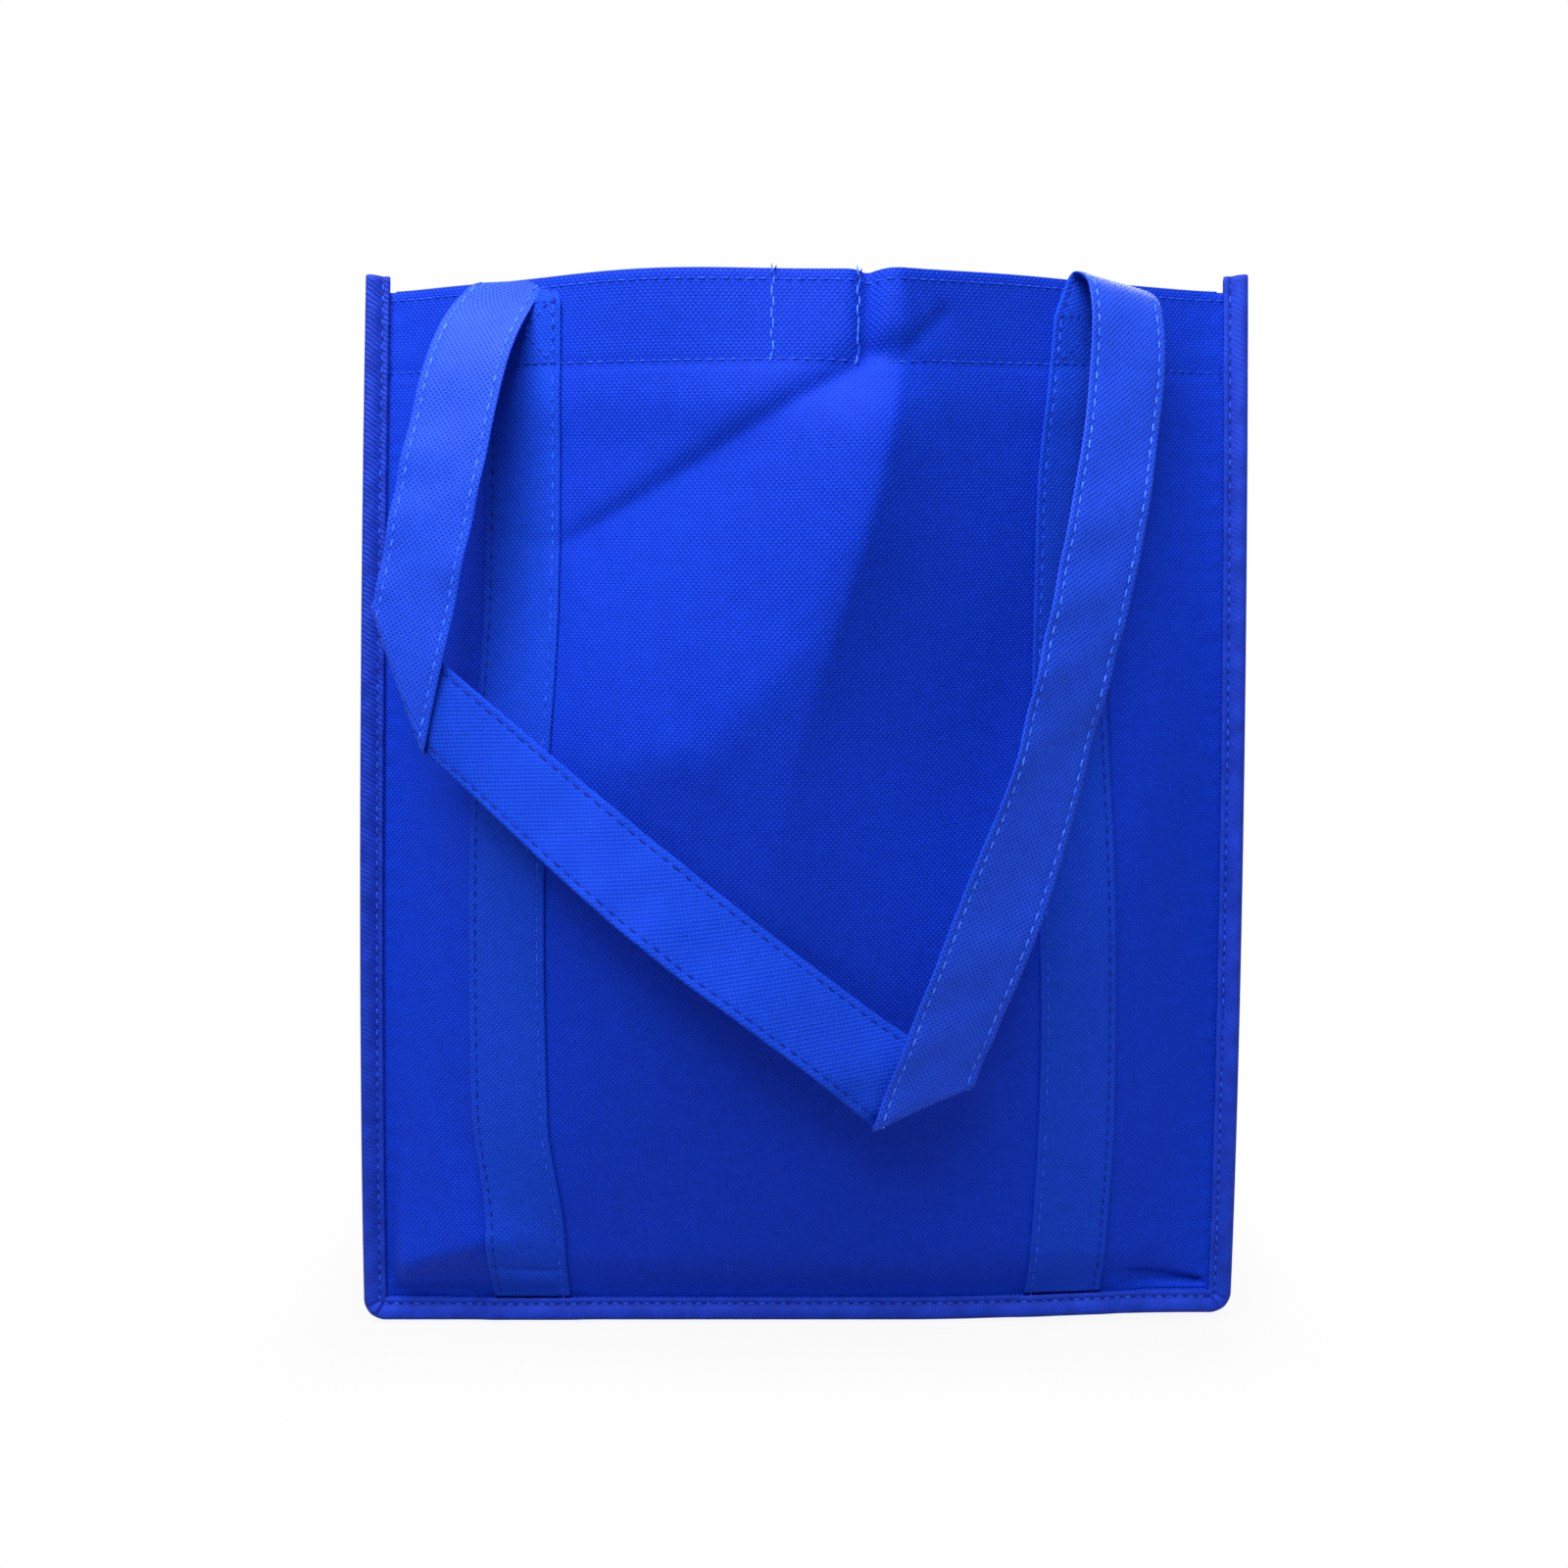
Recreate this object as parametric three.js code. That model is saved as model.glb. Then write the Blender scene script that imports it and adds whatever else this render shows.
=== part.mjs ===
// Reusable grocery tote bag, sewn from spunbond cloth, standing open on its base.
// Millimetres, +Z up. The origin is the middle of the base, and the front faces -Y.
import * as THREE from 'three';

// Overall sizes
const BASE_WIDTH = 333; // over the bindings, at the base
const HEIGHT = 381; // base to the top edge of the hem, at the side seams
const DEPTH = 254; // front seam plane to back seam plane

// How the empty bag stands
const BULGE = 54; // a panel's ridge ahead of its seam plane, at the mouth
const RIDGE_SHARE = 0.19; // the ridge, as a share of the way from the middle to the right seam
const TOP_DRAW_IN = 11; // each side seam moves inwards by this at the mouth
const TOP_SHIFT = 3; // a panel leans to its right by this at the mouth
const HEM_DIP = 12; // the hem hangs lower by this at the ridge
const GUSSET_PINCH = 14; // the middle of each side folds inwards by this at the mouth
const BASE_RISE_RUN = 16; // the base turns up to the seam over this distance

// Cloth, hem and clearance
const FABRIC = 0.6; // one layer of cloth
const CLEARANCE = 0.3; // between two layers that are sewn together
const HEM = 28; // depth of the turned hem at the mouth
const GROUND_GAP = 0.4; // the binding stays clear of the ground by this

// Bindings round the two panels
const BINDING_WIDTH = 9; // seam line to the outer edge of the tape
const BINDING_TAIL = 5; // the ends of the tape stand above the hem by this
const BINDING_START = 0.6; // the leaves of the tape stop short of the seam line by this

// Handles
const STRAP_WIDTH = 29;
const STRAP_THICKNESS = 1.5;
const STRAP_CENTRE = 101.5; // strap's centre line to the middle of the flat panel
const STRAP_STEP_RUN = 8; // the binding climbs onto a strap over this distance
const FOLD_RADIUS = 2.5; // turn of the strap where its loop is folded

// Rack loops and base board
const RACK_LOOP_LENGTH = 44;
const RACK_LOOP_THICKNESS = 0.8;
const RACK_LOOP_INSET = 3; // from the hem's top and bottom edges
const BOARD_THICKNESS = 2;
const BOARD_CORNER = 8;
const BOARD_MARGIN = 3; // from the board to where the base turns up
const BOARD_SIDE_GAP = 8; // from the board to the side walls

// Colours and finish
const CLOTH_BLUE = 0x1138c1;
const STRAP_BLUE = 0x1f4bd8;
const BINDING_BLUE = 0x142c98;
const BOARD_BLACK = 0x22242a;
const CLOTH_ROUGHNESS = 0.75;
const BOARD_ROUGHNESS = 0.6;

// Values that follow from the sizes above
const HALF_DEPTH = DEPTH / 2;
const LAYER = FABRIC + CLEARANCE;
const SEAM_HEIGHT = BINDING_WIDTH + GROUND_GAP;
const SEAM_HALF = BASE_WIDTH / 2 - BINDING_WIDTH;
const HEM_FOOT = HEIGHT - HEM;
const HEM_MIDDLE = HEIGHT - HEM / 2;
const TAPE_EDGE = BINDING_WIDTH - FABRIC / 2;
const FLANGE = BINDING_WIDTH - 2 * LAYER;
const STRAP_LIFT = STRAP_THICKNESS + CLEARANCE;
const STRAP_END = FLANGE - STRAP_LIFT;
const STRAP_OFFSET = FABRIC / 2 + CLEARANCE + STRAP_THICKNESS / 2;

const clamp = THREE.MathUtils.clamp;
const lerp = THREE.MathUtils.lerp;
const smooth = (value) => THREE.MathUtils.smoothstep(value, 0, 1);

// A sheet of quads that becomes a closed solid of even thickness. Where two points of a
// quad are the same point, the quad is a triangle.
class Sheet {
  constructor() {
    this.points = [];
    this.faces = [];
    this.known = new Map();
  }

  at(point) {
    const key = point.toArray().map((value) => value.toFixed(4)).join(' ');
    if (!this.known.has(key)) {
      this.known.set(key, this.points.length);
      this.points.push(point);
    }
    return this.known.get(key);
  }

  grid(rows) {
    const ids = rows.map((row) => row.map((point) => this.at(point)));
    for (let r = 0; r + 1 < ids.length; r += 1) {
      for (let c = 0; c + 1 < ids[r].length; c += 1) {
        const corners = [ids[r][c], ids[r][c + 1], ids[r + 1][c + 1], ids[r + 1][c]];
        const face = corners.filter((id, k) => id !== corners[(k + 3) % 4]);
        if (face.length > 2) {
          this.faces.push(face);
        }
      }
    }
  }

  normals() {
    const sums = this.points.map(() => new THREE.Vector3());
    for (const face of this.faces) {
      const [a, b, c, d] = [...face, face[0]].map((id) => this.points[id]);
      const first = c.clone().sub(a);
      const second = d.clone().sub(b);
      const normal = face.length === 4 ? first.cross(second) : b.clone().sub(a).cross(first);
      face.forEach((id) => sums[id].add(normal));
    }
    return sums.map((sum) => sum.normalize());
  }

  solid(thickness) {
    const normals = this.normals();
    const positions = [];
    this.points.forEach((point, id) => {
      const step = normals[id].clone().multiplyScalar(thickness / 2);
      positions.push(...point.clone().add(step).toArray(), ...point.clone().sub(step).toArray());
    });
    const outer = (id) => 2 * id;
    const inner = (id) => 2 * id + 1;
    const triangles = [];
    const edges = new Set();
    for (const face of this.faces) {
      for (let k = 1; k + 1 < face.length; k += 1) {
        triangles.push(outer(face[0]), outer(face[k]), outer(face[k + 1]));
        triangles.push(inner(face[0]), inner(face[k + 1]), inner(face[k]));
      }
      face.forEach((id, k) => edges.add(`${id} ${face[(k + 1) % face.length]}`));
    }
    for (const edge of edges) {
      const [a, b] = edge.split(' ').map(Number);
      if (!edges.has(`${b} ${a}`)) {
        triangles.push(outer(b), outer(a), inner(a), outer(b), inner(a), inner(b));
      }
    }
    const geometry = new THREE.BufferGeometry();
    geometry.setAttribute('position', new THREE.Float32BufferAttribute(positions, 3));
    geometry.setIndex(triangles);
    geometry.computeVertexNormals();
    return geometry;
  }
}

function piece(name, geometry, color, roughness = CLOTH_ROUGHNESS) {
  const material = new THREE.MeshStandardMaterial({ color, roughness, metalness: 0 });
  const mesh = new THREE.Mesh(geometry, material);
  mesh.name = name;
  return mesh;
}

// Form of a front panel, seen from the front: x to the right, z up. A place on the panel
// is given by how far across the flat cloth it lies and by its height on the flat cloth.

function seamHalfWidth(z) {
  return SEAM_HALF - TOP_DRAW_IN * Math.max(z / HEIGHT, 0) ** 1.6;
}

function lean(z) {
  return (TOP_SHIFT * z) / HEIGHT;
}

// Rise of the panel across its width, from 0 at the seams to 1 at the ridge: full low
// down, and a tent with a soft left side and a hollow right side at the mouth.
function crown(share, z) {
  const onLeft = share < RIDGE_SHARE;
  const way = onLeft ? (share + 1) / (RIDGE_SHARE + 1) : (1 - share) / (1 - RIDGE_SHARE);
  const q = clamp(way, 0, 1);
  const pillow = 1 - (1 - q) ** 2.6;
  const tent = onLeft ? Math.sin((Math.PI / 2) * q) ** 1.3 : q ** 1.6;
  return lerp(pillow, tent, smooth((z / HEIGHT - 0.15) / 0.75));
}

function bulge(share, z) {
  const up = clamp((z - SEAM_HEIGHT) / (HEIGHT - SEAM_HEIGHT), 0, 1);
  return BULGE * (1 - (1 - up) ** 1.9) * crown(share, z);
}

function panelPoint(across, height) {
  const share = across / SEAM_HALF;
  const dip = (HEM_DIP * crown(share, HEIGHT)) / (HEIGHT - SEAM_HEIGHT);
  const z = SEAM_HEIGHT + (height - SEAM_HEIGHT) * (1 - dip);
  const x = share * seamHalfWidth(z) + lean(z);
  return new THREE.Vector3(x, -HALF_DEPTH - bulge(share, z), z);
}

function panelNormal(across, height) {
  const step = 0.5;
  const side = across > 0 ? step : -step;
  const inward = panelPoint(across - side, height).sub(panelPoint(across, height));
  const down = panelPoint(across, height - step).sub(panelPoint(across, height));
  const normal = inward.cross(down).normalize();
  return normal.y > 0 ? normal.negate() : normal;
}

function offPanel(across, height, distance) {
  return panelPoint(across, height).addScaledVector(panelNormal(across, height), distance);
}

// How far a panel stands ahead of its seam plane at a place in the front view.
function bulgeAt(x, z) {
  return bulge((x - lean(z)) / seamHalfWidth(z), z);
}

// Columns and rows of the panel's cloth. The straps and the binding share them, so that
// layers that lie on each other stay parallel.
const strapOuter = STRAP_CENTRE + STRAP_WIDTH / 2;
const strapInner = STRAP_CENTRE - STRAP_WIDTH / 2;
const rackEnd = RACK_LOOP_LENGTH / 2;
const stepInner = strapInner - STRAP_STEP_RUN;
const stepOuter = strapOuter + STRAP_STEP_RUN;
const halfColumns = [
  rackEnd,
  lerp(rackEnd, stepInner, 1 / 3),
  lerp(rackEnd, stepInner, 2 / 3),
  stepInner,
  strapInner,
  STRAP_CENTRE,
  strapOuter,
  stepOuter,
  lerp(stepOuter, SEAM_HALF, 0.5),
  SEAM_HALF,
];
const columns = [...halfColumns.map((across) => -across).reverse(), 0, ...halfColumns];
const rowShares = [0, 0.02, 0.06, 0.12, 0.2, 0.31, 0.43, 0.56, 0.69, 0.82];
const rows = [
  ...rowShares.map((share) => lerp(SEAM_HEIGHT, HEM_FOOT, share)),
  HEM_FOOT,
  HEM_MIDDLE,
  HEIGHT,
];

// Seam line of a panel, down the left side, along the base and up the right side, with
// the direction that the seam allowance points in. The allowance fans out at a corner.
function seamLine(seamRows) {
  const stations = [];
  const add = (across, height, degrees) => {
    const turn = THREE.MathUtils.degToRad(degrees);
    stations.push({ across, height, out: new THREE.Vector3(Math.cos(turn), 0, Math.sin(turn)) });
  };
  const fan = [0, 22.5, 45, 67.5, 90];
  [...seamRows].reverse().slice(0, -1).forEach((height) => add(-SEAM_HALF, height, 180));
  fan.forEach((degrees) => add(-SEAM_HALF, SEAM_HEIGHT, 180 + degrees));
  columns.slice(1, -1).forEach((across) => add(across, SEAM_HEIGHT, 270));
  fan.forEach((degrees) => add(SEAM_HALF, SEAM_HEIGHT, 270 + degrees));
  seamRows.slice(1).forEach((height) => add(SEAM_HALF, height, 360));
  return stations;
}

const seam = seamLine(rows);

function seamPoint(station, outwards, inwards) {
  const point = panelPoint(station.across, station.height);
  point.addScaledVector(station.out, outwards);
  point.y += inwards;
  return point;
}

// Panel: one cut of cloth with a flat seam allowance on three sides and the hem turned
// to the inside at the top. The hem stops short of the side seams.
function panelGeometry() {
  const sheet = new Sheet();
  sheet.grid(rows.map((height) => columns.map((across) => panelPoint(across, height))));
  sheet.grid([FLANGE, 0].map((outwards) => seam.map((station) => seamPoint(station, outwards, 0))));
  const hemColumns = columns.slice(1, -1);
  const turn = [0, 60, 120, 180].map((degrees) => {
    const angle = THREE.MathUtils.degToRad(degrees);
    const inwards = (LAYER / 2) * (1 - Math.cos(angle));
    const rise = new THREE.Vector3(0, 0, (LAYER / 2) * Math.sin(angle));
    return hemColumns.map((across) => offPanel(across, HEIGHT, -inwards).add(rise));
  });
  const leaf = [HEM_MIDDLE, HEM_FOOT].map((height) =>
    hemColumns.map((across) => offPanel(across, height, -LAYER)),
  );
  turn[0] = hemColumns.map((across) => panelPoint(across, HEIGHT));
  sheet.grid([...turn, ...leaf]);
  return sheet.solid(FABRIC);
}

// Gusset: one strip that makes the left side, the base and the right side. Its edges turn
// outwards at both seams, the base settles onto the ground, and its two ends are hemmed.
function gussetGeometry() {
  const sheet = new Sheet();
  const span = DEPTH - 2 * LAYER;
  const level = 2 * LAYER;
  const turnUp = [0, 1 / 3, 2 / 3, 1].map((share) => lerp(level, BASE_RISE_RUN, share));
  const nearSeam = [0, ...turnUp, span / 4];
  const depths = [...nearSeam, span / 2, ...nearSeam.map((run) => span - run).reverse()];

  const wallPoint = (station, opposite, depth) => {
    const front = seamPoint(station, 0, LAYER);
    const back = seamPoint(opposite, 0, LAYER);
    const share = depth / span;
    const x = lerp(front.x, -back.x, share);
    const z = lerp(front.z, back.z, share);
    const fromSeam = Math.min(depth, span - depth);
    const settle = smooth((fromSeam - level) / (BASE_RISE_RUN - level));
    const low = smooth(1 - (z - SEAM_HEIGHT) / (4 * SEAM_HEIGHT));
    const pinch = GUSSET_PINCH * Math.sin(Math.PI * share) * (z / HEIGHT) ** 2;
    const drop = (SEAM_HEIGHT - FABRIC / 2) * settle * low;
    return new THREE.Vector3(x - Math.sign(x) * pinch, front.y + depth, z - drop);
  };

  const strip = seam.map((station, k) => {
    const opposite = seam[seam.length - 1 - k];
    const frontEdge = seamPoint(station, FLANGE, LAYER);
    const backEdge = seamPoint(opposite, FLANGE, LAYER);
    backEdge.set(-backEdge.x, -backEdge.y, backEdge.z);
    return [frontEdge, ...depths.map((depth) => wallPoint(station, opposite, depth)), backEdge];
  });
  sheet.grid(strip);

  const hemOf = (end, middle, foot, inward) => {
    const wall = (row) => row.slice(2, -2);
    const turn = [60, 120, 180].map((degrees) => {
      const angle = THREE.MathUtils.degToRad(degrees);
      const aside = (inward * LAYER * (1 - Math.cos(angle))) / 2;
      const shift = new THREE.Vector3(aside, 0, (LAYER / 2) * Math.sin(angle));
      return wall(end).map((point) => point.clone().add(shift));
    });
    const aside = new THREE.Vector3(inward * LAYER, 0, 0);
    const leaf = [middle, foot].map((row) => wall(row).map((point) => point.clone().add(aside)));
    return [wall(end), ...turn, ...leaf];
  };
  const [leftEnd, leftMiddle, leftFoot] = strip;
  const [rightFoot, rightMiddle, rightEnd] = strip.slice(-3);
  sheet.grid(hemOf(leftEnd, leftMiddle, leftFoot, 1).reverse());
  sheet.grid(hemOf(rightEnd, rightMiddle, rightFoot, -1));
  return sheet.solid(FABRIC);
}

// Binding: a tape folded over the raw edges of the panel and the gusset. It climbs over
// the strap ends at the base, and its own ends stand above the hem.
function bindingGeometry() {
  const sheet = new Sheet();
  const tail = HEIGHT + BINDING_TAIL;
  const path = seamLine([...rows, tail]);
  const liftAt = (station) => {
    const onBase = station.height === SEAM_HEIGHT;
    const fromStrap = Math.abs(Math.abs(station.across) - STRAP_CENTRE);
    return onBase && fromStrap <= STRAP_WIDTH / 2 + 0.01 ? STRAP_LIFT : 0;
  };
  const section = path.map((station) => {
    const front = -LAYER - liftAt(station);
    const middle = LAYER / 2;
    const back = 2 * LAYER;
    const corners = [
      [BINDING_START, front],
      [TAPE_EDGE - (middle - front), front],
      [TAPE_EDGE, middle],
      [TAPE_EDGE - (back - middle), back],
      [BINDING_START, back],
    ];
    return corners.map(([outwards, inwards]) => seamPoint(station, outwards, inwards));
  });
  sheet.grid(section.map((row) => row.reverse()));
  return sheet.solid(FABRIC);
}

// Handle: one strap, sewn up the panel from the base seam to the hem, out in a loop that
// has flopped over the front in two folds, and down the panel again on the other side.
// A rung crosses the loop: its place (x as a share of the strap's own, and how far below
// the mouth), its distance from the panel, its direction in the front view, and how much
// longer than the strap's width it is where it lies along a fold.
const loopBeforeFirstFold = [
  { share: -0.97, below: 0, off: 4.5, degrees: 172, long: 1 },
  { share: -1.06, below: 28, off: 20, degrees: 166, long: 1 },
  { share: -1.158, below: 74, off: 31, degrees: 160, long: 1 },
  { share: -1.29, below: 136, off: 34, degrees: 108, long: 1.75 },
];
const loopBetweenFolds = [
  { share: -1.29, below: 136, off: 34 - 2 * FOLD_RADIUS, degrees: 108, long: 1.75 },
  { share: -0.49, below: 204, off: 18, degrees: 64, long: 1.04 },
  { share: 0.42, below: 282, off: 15, degrees: 29, long: 1.24 },
];
const loopAfterSecondFold = [
  { share: 0.42, below: 282, off: 15 + 2 * FOLD_RADIUS, degrees: 29, long: 1.24 },
  { share: 0.665, below: 204, off: 25, degrees: -23, long: 1 },
  { share: 0.94, below: 95, off: 39, degrees: -7, long: 1 },
  { share: 1.04, below: 36, off: 33, degrees: 0, long: 1 },
  { share: 1.035, below: 0, off: 11, degrees: -7, long: 1 },
];

function rungEnds({ share, below, off, degrees, long }) {
  const x = share * STRAP_CENTRE;
  const z = HEIGHT - below;
  const angle = THREE.MathUtils.degToRad(degrees);
  const ends = (half) =>
    [half, -half].map((reach) => {
      const endX = x + reach * Math.cos(angle);
      const endZ = z + reach * Math.sin(angle);
      return new THREE.Vector3(endX, -HALF_DEPTH - bulgeAt(endX, endZ) - off, endZ);
    });
  const width = STRAP_WIDTH * long;
  const [outer, inner] = ends(width / 2);
  return ends((width * width) / (2 * outer.distanceTo(inner)));
}

function acrossStrap([outer, inner]) {
  return [outer, outer.clone().lerp(inner, 0.5), inner];
}

// Rungs spread evenly along the two edges of a stretch of the loop.
function stretch(rungs, steps) {
  const edges = [0, 1].map((edge) => {
    const curve = new THREE.CatmullRomCurve3(rungs.map((rung) => rung[edge]));
    return curve.getPoints(steps);
  });
  return edges[0].map((outer, k) => acrossStrap([outer, edges[1][k]]));
}

// Half a turn of the strap about a fold, from its front layer to its back layer or from
// its back layer to its front one.
function foldTurn(from, to, side) {
  const along = from[0].clone().sub(from[1]).setY(0).normalize();
  const beyond = new THREE.Vector3(-along.z, 0, along.x).multiplyScalar(side * FOLD_RADIUS);
  return [45, 90, 135].map((degrees) => {
    const angle = THREE.MathUtils.degToRad(degrees);
    const way = (1 - Math.cos(angle)) / 2;
    const ends = [0, 1].map((edge) =>
      from[edge].clone().lerp(to[edge], way).addScaledVector(beyond, Math.sin(angle)),
    );
    return acrossStrap(ends);
  });
}

function sewnStrap(side) {
  const lines = [strapOuter, STRAP_CENTRE, strapInner].map((across) => side * across);
  const end = lines.map((across) => {
    const point = panelPoint(across, SEAM_HEIGHT);
    return new THREE.Vector3(point.x, point.y - STRAP_OFFSET, point.z - STRAP_END);
  });
  const up = rows.map((height) => lines.map((across) => offPanel(across, height, STRAP_OFFSET)));
  up[0] = end.map((point) => point.clone().setZ(SEAM_HEIGHT));
  return [end, ...up];
}

function handleGeometry() {
  const sheet = new Sheet();
  const left = sewnStrap(-1);
  const right = sewnStrap(1);
  const top = (strap) => [strap.at(-1)[0], strap.at(-1)[2]];
  const first = [top(left), ...loopBeforeFirstFold.map(rungEnds)];
  const second = loopBetweenFolds.map(rungEnds);
  const third = [...loopAfterSecondFold.map(rungEnds), top(right)];
  sheet.grid([
    ...left.slice(0, -1),
    ...stretch(first, 14),
    ...foldTurn(first.at(-1), second[0], 1),
    ...stretch(second, 10),
    ...foldTurn(second.at(-1), third[0], -1),
    ...stretch(third, 22),
    ...right.slice(0, -1).reverse(),
  ]);
  return sheet.solid(STRAP_THICKNESS);
}

// Rack loop: a short flat strap sewn inside the hem by its two ends.
function rackLoopGeometry() {
  const sheet = new Sheet();
  const behind = LAYER + FABRIC / 2 + CLEARANCE + RACK_LOOP_THICKNESS / 2;
  const heights = [HEM_FOOT + RACK_LOOP_INSET, HEM_MIDDLE, HEIGHT - RACK_LOOP_INSET];
  const lines = [-rackEnd, 0, rackEnd];
  sheet.grid(heights.map((height) => lines.map((across) => offPanel(across, height, -behind))));
  return sheet.solid(RACK_LOOP_THICKNESS);
}

// Base board: a loose stiffener that lies on the base and keeps it flat.
function boardGeometry() {
  const halfWidth = SEAM_HALF - BOARD_SIDE_GAP;
  const halfDepth = HALF_DEPTH - BASE_RISE_RUN - BOARD_MARGIN;
  const outline = new THREE.Shape();
  const corner = (x, y, start) => {
    outline.absarc(x, y, BOARD_CORNER, start, start + Math.PI / 2, false);
  };
  corner(halfWidth - BOARD_CORNER, halfDepth - BOARD_CORNER, 0);
  corner(BOARD_CORNER - halfWidth, halfDepth - BOARD_CORNER, Math.PI / 2);
  corner(BOARD_CORNER - halfWidth, BOARD_CORNER - halfDepth, Math.PI);
  corner(halfWidth - BOARD_CORNER, BOARD_CORNER - halfDepth, 1.5 * Math.PI);
  const options = { depth: BOARD_THICKNESS, bevelEnabled: false, curveSegments: 5 };
  return new THREE.ExtrudeGeometry(outline, options);
}

const panel = panelGeometry();
const binding = bindingGeometry();
const handle = handleGeometry();
const rackLoop = rackLoopGeometry();

// The back of the bag is the front turned half round.
function faceOfBag(side) {
  const face = new THREE.Group();
  face.add(piece(`${side}_panel`, panel, CLOTH_BLUE));
  face.add(piece(`${side}_binding`, binding, BINDING_BLUE));
  face.add(piece(`${side}_handle`, handle, STRAP_BLUE));
  face.add(piece(`${side}_rack_loop`, rackLoop, CLOTH_BLUE));
  return face;
}

const back = faceOfBag('back');
back.rotation.z = Math.PI;

const board = piece('base_board', boardGeometry(), BOARD_BLACK, BOARD_ROUGHNESS);
board.position.z = FABRIC + CLEARANCE;

const tote = new THREE.Group();
tote.add(faceOfBag('front'), back, piece('gusset', gussetGeometry(), CLOTH_BLUE), board);

export default tote;
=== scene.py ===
# Reusable grocery tote bag, sewn from royal-blue spunbond cloth. It stands open and empty on its
# base, and each handle has flopped over the face that it is sewn to.
import math

import bmesh
import bpy
import numpy as np
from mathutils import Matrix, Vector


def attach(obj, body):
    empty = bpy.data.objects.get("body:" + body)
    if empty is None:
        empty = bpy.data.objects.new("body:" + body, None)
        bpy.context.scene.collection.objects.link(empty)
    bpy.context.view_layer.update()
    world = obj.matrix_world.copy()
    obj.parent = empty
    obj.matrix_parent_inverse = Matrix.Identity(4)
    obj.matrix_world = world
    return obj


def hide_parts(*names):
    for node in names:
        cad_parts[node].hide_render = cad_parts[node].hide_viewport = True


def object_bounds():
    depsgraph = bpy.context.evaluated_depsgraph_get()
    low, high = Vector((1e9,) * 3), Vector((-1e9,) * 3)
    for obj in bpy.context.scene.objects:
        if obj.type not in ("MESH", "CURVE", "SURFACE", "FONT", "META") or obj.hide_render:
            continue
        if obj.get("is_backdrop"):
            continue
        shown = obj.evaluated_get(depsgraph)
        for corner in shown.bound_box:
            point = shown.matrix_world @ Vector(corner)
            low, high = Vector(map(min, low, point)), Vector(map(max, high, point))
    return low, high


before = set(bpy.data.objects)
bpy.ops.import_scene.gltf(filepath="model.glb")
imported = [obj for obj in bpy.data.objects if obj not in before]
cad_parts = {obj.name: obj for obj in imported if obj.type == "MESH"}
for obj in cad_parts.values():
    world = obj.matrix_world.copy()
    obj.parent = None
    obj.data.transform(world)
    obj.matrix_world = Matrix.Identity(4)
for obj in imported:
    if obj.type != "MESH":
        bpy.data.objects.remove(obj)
cad_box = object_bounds()


# Front and back panels
# Each is one cut of spunbond cloth with its hem turned to the inside at the mouth. The empty cloth
# stands in a soft tent, and it keeps the creases of the flat pack that the bag came in.

HEIGHT = 0.381  # base to the top edge of the hem, at the side seams
HALF_DEPTH = 0.127  # middle of the bag to a seam plane
SEAM_HALF = 0.1575  # middle of a panel to its side seam, at the base
SEAM_HEIGHT = 0.0094  # base seam above the ground
HEM = 0.028
BULGE = 0.054  # the ridge ahead of the seam plane, at the mouth
RIDGE_SHARE = 0.19  # the ridge, as a share of the way from the middle to the right seam
RIDGE_TURN = 0.24  # the ridge turns to the left by this share below the hem
RIDGE_STRAIGHT = 0.350  # it runs straight down from the mouth to here
TOP_DRAW_IN = 0.011  # each side seam moves inwards by this at the mouth
TOP_SHIFT = 0.003  # the panel leans to its right by this at the mouth
HEM_DIP = 0.012  # the hem hangs lower by this at the ridge
FABRIC = 0.0006  # one layer of cloth
LAYER = 0.0009  # from one sewn layer to the next
SEWN_GAP = 0.0003  # air between two sewn layers
ALLOWANCE = 0.0072  # seam allowance, hidden in the binding
SEAM_FLARE = math.radians(19)  # the allowance leans forward from the seam by this
CORNER_LIFT = 0.0030  # the right base corner stands clear of the ground
CLOTH_STEP = 0.0019  # distance between the points of a cloth mesh
FINE_REACH = 0.020  # the points are twice as close up to here above the base seam
FINE_BESIDE = 0.030  # and up to here beside the side seams
HEM_FOOT = HEIGHT - HEM
HEM_ROW_BELOW = 0.0028  # mouth to the upper row of hem stitches
HEM_ROW_ABOVE = 0.0006  # foot of the hem to the lower row
THREAD_STAND = 0.00005  # the middle of a hem thread above the face of the cloth


def smooth(value):
    """0 to 1 with soft ends."""
    way = np.clip(value, 0, 1)
    return way * way * (3 - 2 * way)


def hump(away, width):
    """1 on a line, fading to 0 on both sides of it."""
    return np.exp(-(away / width) ** 2)


def seam_half_width(z):
    return SEAM_HALF - TOP_DRAW_IN * np.maximum(z / HEIGHT, 0) ** 1.6


def lean(z):
    return TOP_SHIFT * z / HEIGHT


def crown(share, z):
    """Rise of the panel across its width: a pillow low down, a tent at the mouth."""
    ridge = RIDGE_SHARE - RIDGE_TURN * smooth((RIDGE_STRAIGHT - z) / 0.17)
    on_left = share < ridge
    way = np.where(on_left, (share + 1) / (ridge + 1), (1 - share) / (1 - ridge))
    way = np.clip(way, 0, 1)
    pillow = 1 - (1 - way) ** 2.6
    tent = np.where(on_left, np.sin(math.pi / 2 * way) ** 1.3, way ** 1.6)
    return pillow + (tent - pillow) * smooth((z / HEIGHT - 0.15) / 0.75)


def bulge(share, z):
    up = np.clip((z - SEAM_HEIGHT) / (HEIGHT - SEAM_HEIGHT), 0, 1)
    return BULGE * (1 - (1 - up) ** 1.9) * crown(share, z)


def bulge_at(x, z):
    return bulge((x - lean(z)) / seam_half_width(z), z)


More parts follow.
